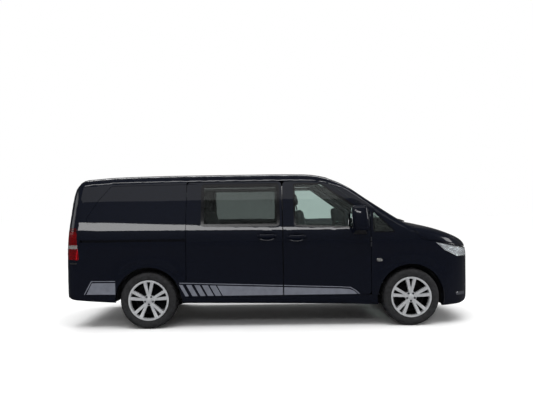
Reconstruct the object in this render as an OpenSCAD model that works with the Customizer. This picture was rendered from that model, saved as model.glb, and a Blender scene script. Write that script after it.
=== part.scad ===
// Mid-size light commercial van, crew version with a sliding side door on each side.
// Frame: +X forwards, +Y to the left, +Z up, origin on the ground below the middle of the van.

/* [Body] */
// Length over the bumpers
body_length = 5140; // [4900:10:5400]
// Width over the door skins, without the mirrors
body_width = 1928; // [1860:4:2000]
// Height of the roof above the ground
body_height = 1910; // [1860:10:1990]
// Thickness of a door or side wall
wall = 70; // [55:5:85]
// Thickness of the roof
roof_wall = 45; // [35:5:60]
// Gap between neighbouring panels
gap = 6; // [5:1:9]
// Thickness of the window glass
glass_wall = 6; // [4:1:10]
// Height of the load floor above the ground
floor_z = 520; // [490:10:560]

/* [Running gear] */
// Front bumper to front axle
front_overhang = 895; // [870:5:920]
// Rear axle to the back of the rear bumper
rear_overhang = 1045; // [1000:5:1090]
// Distance between the wheel centre planes
track = 1640; // [1600:4:1660]
// Outer diameter of the tyre
tyre_d = 694; // [660:2:710]
// Width of the tyre
tyre_w = 245; // [205:5:255]
// Diameter over the rim's lip
rim_d = 492; // [460:2:510]
// Radius of the wheel arch openings
arch_r = 405; // [395:5:420]
// Number of twin spokes
spoke_pairs = 5; // [4:1:7]

/* [Hidden] */
$fn = 48;

// Overrun that every cut has past the faces it opens
over = 20;
// Running clearance between seated pieces
seat = 0.3;
half_l = body_length / 2;
half_w = body_width / 2;
front_axle_x = half_l - front_overhang;
rear_axle_x = -half_l + rear_overhang;
axle_z = tyre_d / 2;
tall = 2 * body_height;
wide = 2 * body_width;
long = 2 * body_length;

// Places along the body follow the axles, so a longer van grows between its doors
rear_axle_share = -0.5934;
front_axle_share = 0.6518;
slide_rear_share = -0.412;
hinge_share = 0.4623;
// Rear axle to the sliding door, and front axle to the front door's hinges
rear_door_reach = 466;
front_door_reach = 487;
place_shares = [[-2, -long], [-1, -half_l], [rear_axle_share, rear_axle_x],
    [slide_rear_share, rear_axle_x + rear_door_reach], [hinge_share, front_axle_x - front_door_reach],
    [front_axle_share, front_axle_x], [1, half_l], [2, long]];
function place_x(share) = lookup(share, place_shares);
function share_x(x) = lookup(x, [for (k = place_shares) [k[1], k[0]]]);

// Paint, glass and trim colours
paint = [0.03, 0.03, 0.05];
glass_tint = [0.1, 0.13, 0.15, 0.5];
trim_black = [0.06, 0.06, 0.06];
alloy = [0.7, 0.71, 0.73];
steel_grey = [0.35, 0.36, 0.38];
cloth = [0.12, 0.12, 0.13];

// Shape of the body, as shares of its length, half width and height

// Height of the centreline from tail to nose: share of half length, share of height
top_shares = [[-1, 0.972], [-0.9, 0.981], [-0.78, 0.991], [-0.4, 0.999], [0, 1], [0.117, 0.9985],
    [0.195, 0.995], [0.253, 0.986], [0.31, 0.964], [0.362, 0.932], [0.449, 0.852], [0.545, 0.764],
    [0.622, 0.697], [0.662, 0.668], [0.72, 0.65], [0.807, 0.622], [0.908, 0.573], [0.966, 0.531],
    [0.988, 0.497], [1, 0.445]];
// Height of the underside: share of half length, share of height
bottom_shares = [[-1, 0.205], [-0.95, 0.185], [-0.75, 0.168], [-0.4, 0.16], [0.45, 0.138],
    [0.75, 0.12], [0.9, 0.122], [0.945, 0.135], [0.975, 0.155], [0.99, 0.185], [1, 0.235]];
// Plan outline: share of half length, share of half width
plan_shares = [[-1, 0.962], [-0.8, 0.985], [-0.5, 1], [0.5, 1], [0.66, 0.992], [0.76, 0.972],
    [0.82, 0.945], [0.87, 0.893], [0.905, 0.828], [0.934, 0.745], [0.957, 0.64], [0.975, 0.5],
    [0.99, 0.33], [1, 0.16]];
// Body side from sill to roof: share of height, share of half width
side_shares = [[0.1, 0.952], [0.15, 0.962], [0.2, 0.973], [0.28, 0.981], [0.38, 0.984],
    [0.46, 0.988], [0.51, 0.998], [0.55, 1], [0.6, 0.992], [0.645, 0.972], [0.75, 0.918],
    [0.85, 0.861], [0.93, 0.808], [1, 0.75]];
// Rise of the crown of roof, windscreen and bonnet: share of half length, share of height
crown_shares = [[-1, 0.016], [0.15, 0.018], [0.35, 0.04], [0.6, 0.042], [0.75, 0.03], [1, 0.03]];
// Radius of the edge between side and top: share of half length, share of height
edge_shares = [[-1, 0.05], [0.15, 0.05], [0.35, 0.03], [0.6, 0.04], [0.75, 0.075], [0.95, 0.085], [1, 0.06]];
// Lean of the tail: share of height, share of half length
lean_shares = [[0.1, 0.008], [0.2, 0], [0.42, 0], [0.55, 0.004], [0.655, 0.009], [0.744, 0.0145],
    [0.804, 0.018], [0.882, 0.026], [0.942, 0.036], [1, 0.05]];
// Levels of the side mesh between underside and top edge
fine_level_shares = [0, 0.1, 0.24, 0.38, 0.47, 0.53, 0.6, 0.72, 0.86, 1];
coarse_level_shares = [0, 0.45, 0.57, 1];
// Steps of a section round the sill edge, round the top edge and over the crown
sill_shares = [0, 0.5];
edge_step_shares = [0.33, 0.67, 1];
crown_step_shares = [0.6, 0];

// Tail corner radius, bumper proud of the tail, sill edge radius, arch flare
tail_r = 130;
bumper_proud = 22;
sill_r = 34;
flare = 14;
flare_width = 150;
tail_x = -half_l + bumper_proud;
lean_reach = 900;
fine_step = 225;
coarse_step = 420;

function segment(t, table, i = 0) =
    i >= len(table) - 2 || t < table[i + 1][0] ? i : segment(t, table, i + 1);
function chord(table, i) = (table[i + 1][1] - table[i][1]) / (table[i + 1][0] - table[i][0]);
function bend(table, i) =
    i == 0 ? chord(table, 0)
    : i == len(table) - 1 ? chord(table, i - 1)
    : chord(table, i - 1) * chord(table, i) <= 0 ? 0
    : 2 * chord(table, i - 1) * chord(table, i) / (chord(table, i - 1) + chord(table, i));
function hermite(u, h, a, b, ma, mb) =
    a * (2 * u ^ 3 - 3 * u ^ 2 + 1) + h * ma * (u ^ 3 - 2 * u ^ 2 + u)
    + b * (3 * u ^ 2 - 2 * u ^ 3) + h * mb * (u ^ 3 - u ^ 2);
// Smooth curve through a table, without overshoot
function curve(t, table) =
    let (c = min(max(t, table[0][0]), table[len(table) - 1][0]),
        i = segment(c, table),
        h = table[i + 1][0] - table[i][0])
    hermite((c - table[i][0]) / h, h, table[i][1], table[i + 1][1], bend(table, i), bend(table, i + 1));

function top_z(x) = body_height * curve(share_x(x), top_shares);
function bottom_z(x) = body_height * curve(share_x(x), bottom_shares);
function plan_y(x) = half_w * curve(share_x(x), plan_shares);
function crown(x) = body_height * curve(share_x(x), crown_shares);
function edge_r(x) = body_height * curve(share_x(x), edge_shares);
function lean(z) = half_l * curve(z / body_height, lean_shares);
function lean_fade(x) = max(0, 1 - (x - tail_x) / lean_reach);
function arch_bump(x, z) =
    let (r = min([for (a = [front_axle_x, rear_axle_x]) norm([x - a, z - axle_z]) - arch_r]))
    z < axle_z - arch_r ? 0 : flare * exp(-(r / flare_width) ^ 2 * 2);
function side_y(x, z, w) =
    w * curve(z / body_height, side_shares) + arch_bump(x, z) * min(1, w / half_w) - flare * 0.5;

// Insets of the sides, the top and the underside: one length for all, or a list of three
function insets(d) = is_list(d) ? d : [d, d, d];

// One half section at station x, inset by d, from the middle of the underside up to the crown.
// drop is how much the rounded tail edge pulls the outline in.
function half_section(x, d, drop, levels) =
    let (w = plan_y(x) - drop - d[0],
        zt = top_z(x) - drop - d[1],
        zb = bottom_z(x) + d[2],
        c = crown(x),
        r = min(edge_r(x), (zt - c - zb) / 3),
        zc = zt - c - r,
        zs = zb + sill_r,
        m = (side_y(x, zc, w) - side_y(x, zc - r, w)) / r,
        yc = side_y(x, zc, w) + m * r,
        yb = yc - r,
        a = [side_y(x, zc, w), zc],
        b = [yb, zt - c * (yb / yc) ^ 2],
        k = [yc, zt - c])
    concat(
        [[0, zb]],
        [for (t = sill_shares) [side_y(x, zs, w) - sill_r * (1 - t) ^ 2, zb + sill_r * t ^ 2]],
        [for (v = levels) let (z = zs + v * (zc - zs)) [side_y(x, z, w), z]],
        [for (t = edge_step_shares) a * (1 - t) ^ 2 + k * (2 * t * (1 - t)) + b * t ^ 2],
        [for (s = crown_step_shares) [yb * s, zt - c * (yb * s / yc) ^ 2]]
    );
function full_section(x, d, drop, levels) =
    let (h = half_section(x, d, drop, levels), n = len(h))
    concat(h, [for (i = [n - 2:-1:1]) [-h[i][0], h[i][1]]]);

// Stations along the body: rounded tail, even spacing, then closing up to the nose
nose_step_shares = [0.75, 0.55, 0.36, 0.17, 0.075, 0.026, 0];
nose_reach = 420;
tail_turns = [0, 30, 60, 90];
function stations(d, step) =
    let (x0 = tail_x + d, x1 = half_l - nose_reach - d, n = floor((x1 - x0 - tail_r) / step))
    concat(
        [for (t = tail_turns) [x0 + tail_r * (1 - cos(t)), tail_r * (1 - sin(t))]],
        [for (i = [1:n]) [x0 + tail_r + (x1 - x0 - tail_r) * i / n, 0]],
        [for (s = nose_step_shares) [x1 + nose_reach * (1 - s), 0]]
    );

// The closed body form, inset by d on all sides
module body_form(d, fine = false) {
    levels = fine ? fine_level_shares : coarse_level_shares;
    inset = insets(d);
    places = stations(inset[0], fine ? fine_step : coarse_step);
    rings = [for (p = places) [for (q = full_section(p[0], inset, p[1], levels))
        [p[0] + lean(q[1]) * lean_fade(p[0]), q[0], q[1]]]];
    n = len(rings[0]);
    k = len(rings);
    polyhedron(
        points = [for (r = rings) each r],
        faces = concat(
            [[for (i = [0:n - 1]) i]],
            [for (j = [0:k - 2]) for (i = [0:n - 1]) let (i2 = (i + 1) % n)
                each [[j * n + i, (j + 1) * n + i, (j + 1) * n + i2],
                    [j * n + i, (j + 1) * n + i2, j * n + i2]]],
            [[for (i = [n - 1:-1:0]) (k - 1) * n + i]]
        )
    );
}

// Shut lines and openings

rail_z = body_height * 0.937;
door_top_z = rail_z - gap;
sill_top_z = body_height * 0.2016;
b_post_x = place_x(0.049);
slide_rear_x = place_x(slide_rear_share);
hinge_x = place_x(hinge_share);
cowl_x = place_x(0.672);
nose_cut_x = place_x(0.85);
wing_front_x = place_x(0.9);
lamp_cut_x = place_x(0.5);
scuttle_z = body_height * 0.59;
lamp_y = half_w * 0.5;
tailgate_low_z = body_height * 0.322;
grille_low_z = body_height * 0.345;
grille_top_z = body_height * 0.484;
corner_r = 45;

// Outlines in side view, as shares of half length and height
front_door_shares = [[0.049, 0.2016], [0.4623, 0.2016], [0.4623, 0.735], [0.2525, 0.9339], [0.049, 0.9339]];
front_window_shares = [[0.1, 0.641], [0.44, 0.622], [0.44, 0.727], [0.235, 0.922], [0.1, 0.922]];
slide_window_shares = [[-0.342, 0.645], [0.034, 0.643], [0.034, 0.923], [-0.342, 0.923]];
quarter_light_shares = [[0.475, 0.597], [0.585, 0.597], [0.475, 0.742]];
bonnet_shares = [[0.672, 1], [0.672, 0.605], [0.7, 0.565], [0.735, 0.543], [0.795, 0.534],
    [0.93, 0.4945], [0.96, 0.4895], [1.1, 0.4895], [1.1, 1]];
headlamp_shares = [[0.772, 0.528], [0.93, 0.4845], [0.96, 0.482], [1.1, 0.482], [1.1, 0.4345],
    [0.885, 0.4345], [0.815, 0.478]];
front_bumper_shares = [[0.79, 0], [1.1, 0], [1.1, 0.43], [0.86, 0.43], [0.82, 0.4], [0.79, 0.33]];
rear_bumper_shares = [[-1.1, 0], [-0.742, 0], [-0.742, 0.335], [-0.91, 0.335],
    [-0.923, 0.4425], [-1.1, 0.4425]];
tail_lamp_shares = [[-1.1, 0.4455], [-0.922, 0.4455], [-0.935, 0.6485], [-1.1, 0.6485]];
// Windscreen in front view, as shares of half width and height
windscreen_shares = [[-0.84, 0.674], [0.84, 0.674], [0.7, 0.962], [-0.7, 0.962]];

// Tailgate and its window in rear view, as shares of half width and height
tailgate_shares = [[-0.83, 0.322], [0.83, 0.322], [0.83, 0.58], [0.68, 0.915], [-0.68, 0.915], [-0.83, 0.58]];
tail_window_shares = [[-0.7, 0.625], [0.7, 0.625], [0.59, 0.88], [-0.59, 0.88]];
tailgate_top_z = tailgate_shares[3][1] * body_height;
function front_placed(shares) = [for (p = shares) [p[0] * half_w, p[1] * body_height]];
function placed(shares) = [for (p = shares) [place_x(p[0]), p[1] * body_height]];

// A side view outline carried through the whole width
module across() {
    rotate([90, 0, 0]) linear_extrude(wide, center = true) children();
}
// A front view outline carried along x from x0 to x1
module along(x0, x1) {
    translate([x0, 0, 0]) rotate([90, 0, 90]) linear_extrude(x1 - x0) children();
}
// Rounds the corners of a flat outline
module rounded(r) {
    offset(r = r, $fn = 12) offset(delta = -r) children();
}
module slab(x0, x1, z0, z1) {
    translate([x0, z0]) square([x1 - x0, z1 - z0]);
}
module box(x0, x1, y0, y1, z0, z1) {
    translate([x0, y0, z0]) cube([x1 - x0, y1 - y0, z1 - z0]);
}
// Keeps one side of the van: 1 is left, -1 is right
module one_side(s) {
    intersection() {
        children();
        translate([-body_length, s > 0 ? over : -over - wide, -body_height])
            cube([2 * body_length, wide, 2 * tall]);
    }
}
module both_sides() {
    for (s = [1, -1])
        scale([1, s, 1]) children();
}
// Welds a curved panel into one mesh, at its own size
module panel() {
    resize([0, 0, 0]) children();
}

// The wall of the body: open below, as thick as the doors at the sides and thinner at the roof
module inner_form(d) {
    body_form([wall + d, roof_wall + d, -body_height / 3]);
}
module shell() {
    difference() {
        body_form(0, true);
        inner_form(0);
    }
}
module arches(r) {
    for (x = [front_axle_x, rear_axle_x])
        translate([x, axle_z]) circle(r);
}
module arch_cuts(r) {
    across() arches(r);
}

module front_door_2d() { rounded(corner_r) polygon(placed(front_door_shares)); }
module front_window_2d() { rounded(corner_r) polygon(placed(front_window_shares)); }
module slide_door_2d() { rounded(corner_r) slab(slide_rear_x, b_post_x - gap * 2, sill_top_z, door_top_z); }
module slide_window_2d() { rounded(corner_r) polygon(placed(slide_window_shares)); }
module quarter_light_2d() { rounded(corner_r / 3) polygon(placed(quarter_light_shares)); }
module bonnet_2d() { polygon(placed(bonnet_shares)); }
module headlamp_2d() { polygon(placed(headlamp_shares)); }
module front_bumper_2d() { polygon(placed(front_bumper_shares)); }
module rear_bumper_2d() { polygon(placed(rear_bumper_shares)); }
module tail_lamp_2d() { polygon(placed(tail_lamp_shares)); }
module windscreen_2d() { rounded(corner_r) polygon(front_placed(windscreen_shares)); }
module tailgate_2d() { rounded(corner_r) polygon(front_placed(tailgate_shares)); }
module tail_window_2d() { rounded(corner_r) polygon(front_placed(tail_window_shares)); }
grille_half_w = half_w * 0.49;
module grille_2d() {
    rounded(corner_r) translate([-grille_half_w, grille_low_z])
        square([2 * grille_half_w, grille_top_z - grille_low_z]);
}
screen_x0 = place_x(0.2);
module screen_cut(d) {
    along(screen_x0, half_l) offset(delta = d) windscreen_2d();
}
tail_depth = 420;
module tailgate_cut(d) {
    along(-half_l - over, tail_x + tail_depth) offset(delta = d) tailgate_2d();
}
module grille_cut(d) {
    along(nose_cut_x, half_l + over) offset(delta = d) grille_2d();
}
// Thin skin for the glass, set back from the outer form
glass_inset = 3;
module glass_skin() {
    difference() {
        body_form(glass_inset, true);
        body_form(glass_inset + glass_wall, true);
    }
}

// Hinge axes
hinge_r = 8;
lid_hinge_r = 9;
hinge_clear = 0.4;
door_hinge = [hinge_x + gap / 2, side_y(hinge_x, side_shares[7][0] * body_height, plan_y(hinge_x))];
bonnet_hinge = [cowl_x - gap / 2, top_z(cowl_x) + gap];
tail_set_in = 9;
tail_hinge = [tail_x + lean(tailgate_top_z) + tail_set_in, tailgate_top_z + gap / 2];
door_pin_zs = [body_height * 0.522, body_height * 0.555];
pin_l = 50;
bonnet_pin_y = half_w * 0.1;
tail_pin_y = half_w * 0.45;
module hinge_cylinders(grow) {
    for (s = [1, -1]) {
        for (z = door_pin_zs)
            translate([door_hinge[0], s * door_hinge[1], z])
                cylinder(h = pin_l + 2 * grow, r = hinge_r + grow, center = true);
        translate([bonnet_hinge[0], s * bonnet_pin_y, bonnet_hinge[1]])
            rotate([90, 0, 0]) cylinder(h = pin_l + 2 * grow, r = lid_hinge_r + grow, center = true);
        translate([tail_hinge[0], s * tail_pin_y, tail_hinge[1]])
            rotate([90, 0, 0]) cylinder(h = pin_l + 2 * grow, r = lid_hinge_r + grow, center = true);
    }
}
module hinge_pins() {
    color(steel_grey) hinge_cylinders(0);
}

// Pressings of the side: a blanked window field that runs onto the sliding door, and the door's track
field_shares = [[-0.352, 0.66], [-0.352, 0.924], [-0.78, 0.918], [-0.84, 0.82],
    [-0.885, 0.72], [-0.897, 0.672]];
field_depth = 5;
track_depth = 24;
track_h = 30;
track_z = body_height * 0.563;
track_rear_x = place_x(-0.915);
module field_2d() { rounded(corner_r) polygon(placed(field_shares)); }
module pressed(depth, fine) {
    difference() {
        across() children();
        body_form(depth, fine);
    }
}
// Body shell pieces

module roof() {
    color(paint) panel() difference() {
        intersection() {
            shell();
            across() slab(-half_l, half_l, rail_z, tall);
        }
        screen_cut(seat);
    }
}
module quarter_panels() {
    color(paint) panel() difference() {
        intersection() {
            shell();
            across() difference() {
                slab(-half_l - over, slide_rear_x - gap, sill_top_z - gap + seat, rail_z - seat);
                offset(delta = seat) rear_bumper_2d();
                offset(delta = seat) tail_lamp_2d();
                arches(arch_r);
            }
        }
        tailgate_cut(gap);
        pressed(field_depth, true) field_2d();
        pressed(track_depth, false)
            slab(track_rear_x, slide_rear_x + over, track_z - track_h / 2, track_z + track_h / 2);
    }
}
post_w = 150;
post_t = 60;
module b_pillars() {
    color(paint) panel() intersection() {
        difference() {
            inner_form(gap);
            inner_form(gap + post_t);
        }
        across() slab(b_post_x - post_w / 2, b_post_x + post_w / 2, floor_z + seat, rail_z - seat);
        difference() {
            cube([body_length, wide, 2 * tall], center = true);
            cube([body_length, half_w, 2 * tall], center = true);
        }
    }
}
module windscreen_frame() {
    color(paint) panel() difference() {
        intersection() {
            shell();
            across() difference() {
                slab(screen_x0, cowl_x + wall, scuttle_z, rail_z - seat);
                offset(delta = gap) front_door_2d();
                offset(delta = gap) bonnet_2d();
                quarter_light_2d();
            }
        }
        screen_cut(seat);
    }
}
module wings() {
    color(paint) panel() difference() {
        intersection() {
            shell();
            across() difference() {
                slab(hinge_x + gap, wing_front_x, sill_top_z - gap + seat, scuttle_z - seat);
                offset(delta = gap) bonnet_2d();
                offset(delta = seat) headlamp_2d();
                offset(delta = seat) front_bumper_2d();
                arches(arch_r);
            }
        }
        grille_cut(seat);
    }
}
module windscreen() {
    color(glass_tint) panel() intersection() {
        glass_skin();
        screen_cut(-seat);
    }
}
module side_glass() {
    color(glass_tint) panel() intersection() {
        glass_skin();
        across() offset(delta = -seat) {
            slide_window_2d();
            quarter_light_2d();
        }
    }
}
// Grab handle of a door: a bar on two feet over a dished recess
handle_l = 190;
handle_h = 30;
handle_proud = 34;
module door_handle(x, y, z) {
    translate([x, y, z]) {
        hull() for (e = [-1, 1]) translate([e * (handle_l - handle_h) / 2, -handle_proud + handle_h / 3, 0])
            sphere(d = handle_h * 0.72, $fn = 8);
        for (e = [-1, 1]) translate([e * (handle_l - handle_h) / 2, -handle_proud + handle_h / 3, 0])
            rotate([-90, 0, 0]) cylinder(h = handle_proud, d = handle_h * 0.6, $fn = 8);
    }
}
slide_handle_set = 190;
front_handle_set = 170;
slide_handle = [b_post_x - slide_handle_set, body_height * 0.583];
front_handle = [b_post_x + front_handle_set, body_height * 0.575];
function skin_y(p) = side_y(p[0], p[1], plan_y(p[0]));
// Runner below the sliding door, on the sill
runner_l = 90;
slide_mid_x = (slide_rear_x + b_post_x) / 2;
module sliding_doors() {
    color(paint) panel() {
        difference() {
            intersection() {
                shell();
                across() difference() {
                    slide_door_2d();
                    slide_window_2d();
                }
            }
            pressed(field_depth, true) field_2d();
        }
        both_sides() box(slide_mid_x - runner_l / 2, slide_mid_x + runner_l / 2,
            half_w - wall, half_w - wall / 2, sill_top_z - gap + seat, sill_top_z + gap);
        both_sides() door_handle(slide_handle[0], -skin_y(slide_handle), slide_handle[1]);
    }
}
module front_door(s) {
    color(paint) panel() {
        one_side(s) difference() {
            intersection() {
                shell();
                across() difference() {
                    front_door_2d();
                    front_window_2d();
                }
            }
            hinge_cylinders(hinge_clear);
        }
        scale([1, -s, 1]) door_handle(front_handle[0], -skin_y(front_handle), front_handle[1]);
    }
}
module door_glass(s) {
    color(glass_tint) panel() one_side(s) intersection() {
        glass_skin();
        across() offset(delta = -seat) front_window_2d();
    }
}
// Door mirror: an upright rounded housing on a foot at the door's front corner
mirror_x = place_x(0.4115);
mirror_z = body_height * 0.692;
mirror_h = 305;
mirror_w = 158;
mirror_d = 180;
mirror_r = 48;
mirror_low_z = mirror_z - mirror_h / 2;
mirror_gap = 2;
mirror_reach = half_w + mirror_gap + mirror_w;
mirror_foot_h = 90;
module door_mirror(s) {
    y0 = skin_y([mirror_x, mirror_low_z]) + seat;
    color(trim_black) panel() scale([1, s, 1]) {
        hull() for (e = [-1, 1]) {
            for (y = [mirror_reach - mirror_w + mirror_r, mirror_reach - mirror_r])
                translate([mirror_x + e * (mirror_d / 2 - mirror_r * 0.8), y, mirror_low_z + mirror_r]) {
                    sphere(r = mirror_r, $fn = 12);
                    translate([-mirror_d * 0.12, 0, mirror_h - 2 * mirror_r])
                        sphere(r = mirror_r * 0.9, $fn = 12);
                }
        }
        difference() {
            hull() {
                translate([mirror_x, mirror_reach - mirror_w + mirror_r, mirror_low_z + mirror_r])
                    sphere(r = mirror_r * 0.8, $fn = 10);
                translate([mirror_x - mirror_d / 2, y0 - wall / 2, mirror_low_z - mirror_foot_h * 0.6])
                    cube([mirror_d, wall / 2, mirror_foot_h]);
            }
            body_form(-seat, true);
        }
    }
}
module bonnet() {
    color(paint) panel() difference() {
        intersection() {
            shell();
            across() bonnet_2d();
        }
        hinge_cylinders(hinge_clear);
        screen_cut(gap);
    }
}
module front_bumper() {
    color(paint) panel() difference() {
        intersection() {
            shell();
            across() difference() {
                front_bumper_2d();
                arches(arch_r);
            }
        }
        grille_cut(seat);
        along(nose_cut_x, half_l + over) intake_2d();
    }
}
intake_half_w = half_w * 0.56;
intake_low_z = body_height * 0.18;
intake_high_z = body_height * 0.25;
module intake_2d() {
    rounded(corner_r * 0.7) translate([-intake_half_w, intake_low_z])
        square([2 * intake_half_w, intake_high_z - intake_low_z]);
}
// Grille: a dark backing frame with broad cross bars and a blank round boss
bar_count = 3;
bar_h = 34;
bar_pitch = (grille_top_z - grille_low_z) / (bar_count + 1);
boss_d = 190;
module grille() {
    color(trim_black) panel() intersection() {
        difference() {
            body_form(seat * 10, true);
            inner_form(0);
        }
        along(nose_cut_x, half_l + over) {
            difference() {
                offset(delta = -seat) grille_2d();
                offset(delta = -bar_h * 0.7) grille_2d();
            }
            for (i = [1:bar_count])
                translate([-grille_half_w + over, grille_low_z + bar_pitch * i - bar_h / 2])
                    square([2 * grille_half_w - 2 * over, bar_h]);
            translate([0, (grille_low_z + grille_top_z) / 2]) circle(d = boss_d);
        }
    }
}
module headlamps() {
    color([0.8, 0.82, 0.85]) panel() difference() {
        intersection() {
            shell();
            across() headlamp_2d();
        }
        along(lamp_cut_x, half_l + over) translate([-lamp_y, 0]) square([2 * lamp_y, tall]);
    }
}
step_r = 34;
step_half_w = half_w * 0.78;
step_low_z = bottom_z(tail_x) + step_r;
module rear_bumper() {
    color(paint) panel() {
        difference() {
            intersection() {
                shell();
                across() difference() {
                    rear_bumper_2d();
                    arches(arch_r);
                }
            }
            tailgate_cut(gap);
        }
        difference() {
            hull() for (s = [1, -1]) for (z = [step_low_z + step_r, tailgate_low_z - gap - step_r])
                translate([-half_l + step_r, s * step_half_w, z]) {
                    sphere(r = step_r, $fn = 12);
                    translate([2 * step_r, 0, 0]) sphere(r = step_r, $fn = 12);
                }
            inner_form(0);
        }
    }
}
module tail_lamps() {
    color([0.75, 0.05, 0.05]) panel() difference() {
        intersection() {
            shell();
            across() tail_lamp_2d();
        }
        tailgate_cut(gap);
    }
}
module tailgate() {
    color(paint) panel() difference() {
        intersection() {
            shell();
            tailgate_cut(0);
        }
        along(-half_l - over, tail_x + tail_depth) tail_window_2d();
        hinge_cylinders(hinge_clear);
    }
}
module tailgate_glass() {
    color(glass_tint) panel() intersection() {
        glass_skin();
        along(-half_l - over, tail_x + tail_depth) offset(delta = -seat) tail_window_2d();
    }
}

// Floor with sills and side rails
floor_t = 60;
rail_w = 120;
rail_rear_x = rear_axle_x;
cab_front_x = place_x(0.53);
liner_t = 6;
liner_gap = 2;
// Radius of the wheel wells' cuts, clear of the liners on the flats too
well_r = (arch_r + liner_gap + liner_t + seat) / cos(180 / $fn);
// Room inside a tyre up to its well: more at the front, where the wheels steer
rear_well_room = 66;
front_well_room = 196;
well_y_rear = track / 2 - tyre_w / 2 - rear_well_room;
well_y_front = track / 2 - tyre_w / 2 - front_well_room;
module wells(r) {
    for (s = [1, -1]) {
        translate([rear_axle_x, s * (well_y_rear - r + arch_r + wide / 2), axle_z])
            rotate([90, 0, 0]) cylinder(h = wide, r = r, center = true);
        translate([front_axle_x, s * (well_y_front - r + arch_r + wide / 2), axle_z])
            rotate([90, 0, 0]) cylinder(h = wide, r = r, center = true);
    }
}
module platform() {
    color(steel_grey) panel() difference() {
        union() {
            intersection() {
                inner_form(gap);
                across() slab(-half_l, cab_front_x, floor_z - floor_t, floor_z);
            }
            intersection() {
                shell();
                across() slab(rear_axle_x, front_axle_x, 0, sill_top_z - gap);
            }
            both_sides() intersection() {
                box(rail_rear_x, cab_front_x, half_w - wall - gap - rail_w, half_w - wall - gap * 2,
                    sill_top_z - rail_w * 0.75, floor_z - floor_t / 2);
                inner_form(gap);
            }
            both_sides() box(slide_rear_x, hinge_x, half_w - wall - gap - rail_w, half_w - wall,
                sill_top_z - rail_w * 0.75, sill_top_z - gap);
        }
        wells(well_r);
        arch_cuts(arch_r);
    }
}

// Wheel housings: half tubes with a part wall on the inside, clear of the wheel
liner_y = half_w * 0.845;
module liner(x, y0) {
    r1 = arch_r + liner_gap;
    translate([x, 0, axle_z]) rotate([90, 0, 0]) {
        translate([0, 0, -liner_y]) linear_extrude(liner_y - y0) intersection() {
            difference() {
                circle(r1 + liner_t);
                circle(r1);
            }
            translate([-tall, -arch_r * 0.25]) square([2 * tall, tall]);
        }
        translate([0, 0, -y0 - liner_t]) linear_extrude(liner_t) intersection() {
            circle(r1 + liner_t / 2);
            translate([-tall, arch_r * 0.45]) square([2 * tall, tall]);
        }
    }
}
module wheel_liners() {
    color(trim_black) for (s = [1, -1]) mirror([0, s > 0 ? 0 : 1, 0]) {
        liner(rear_axle_x, well_y_rear);
        liner(front_axle_x, well_y_front);
    }
}

// Cab front wall, dashboard and steering wheel
// Height of the seats' cushions, which the steering wheel is set above
seat_base_h = 260;
cushion_t = 150;
cushion_top_z = floor_z + seat + seat_base_h + cushion_t;
steer_rise = 215.7;
bulkhead_t = 20;
bulkhead_x = cab_front_x + seat;
dash_rise = 187;
bulkhead_top_z = cushion_top_z + dash_rise;
module bulkhead() {
    color(steel_grey) panel() difference() {
        intersection() {
            box(bulkhead_x, bulkhead_x + bulkhead_t, -half_w, half_w, floor_z - floor_t, bulkhead_top_z);
            inner_form(gap);
        }
        wells(well_r);
    }
}
dash_half_w = half_w * 0.86;
dash_d = 300;
knee_drop = 90;
dash_low_z = cushion_top_z - knee_drop;
driver_y = -half_w * 0.42;
column_tilt = 28;
steer_hub_r = 60;
steer_wheel_d = 380;
steer_grip_d = 32;
column_l = 260;
column_r = 45;
steer_reach = 60;
steer_at = [bulkhead_x - dash_d - steer_reach, driver_y, cushion_top_z + steer_rise];
module dashboard() {
    color(trim_black) panel() {
        intersection() {
            rotate([90, 0, 0]) linear_extrude(2 * dash_half_w, center = true) rounded(corner_r)
                translate([bulkhead_x - seat, 0]) polygon([[-dash_d * 0.55, dash_low_z], [0, dash_low_z],
                    [0, bulkhead_top_z], [-dash_d * 0.45, bulkhead_top_z + corner_r],
                    [-dash_d, bulkhead_top_z - corner_r], [-dash_d, dash_low_z + dash_d / 2]]);
            inner_form(2 * gap);
        }
        translate(steer_at) rotate([0, -90 + column_tilt, 0])
            translate([0, 0, -steer_grip_d - seat - column_l])
                cylinder(h = column_l, r = column_r, $fn = 24);
    }
}
module steering_wheel() {
    color(trim_black) translate(steer_at) rotate([0, -90 + column_tilt, 0]) {
        rotate_extrude() translate([steer_wheel_d / 2 - steer_grip_d / 2, 0])
            circle(d = steer_grip_d, $fn = 20);
        translate([0, 0, -steer_grip_d]) cylinder(h = steer_grip_d * 1.3, r = steer_hub_r);
        for (t = [0, 120, 240])
            rotate([0, 0, t]) translate([0, -steer_grip_d / 2, -steer_grip_d * 0.7])
                cube([steer_wheel_d / 2 - steer_grip_d * 0.6, steer_grip_d, steer_grip_d * 0.6]);
    }
}

// Seats: base, cushion, back and headrest
seat_w = 500;
cushion_d = 500;
back_h = 620;
back_t = 120;
back_lean = 14;
headrest_h = 180;
base_set = 60;
rest_rise = 20;
rest_post_l = 100;
rest_post_d = 20;
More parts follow.
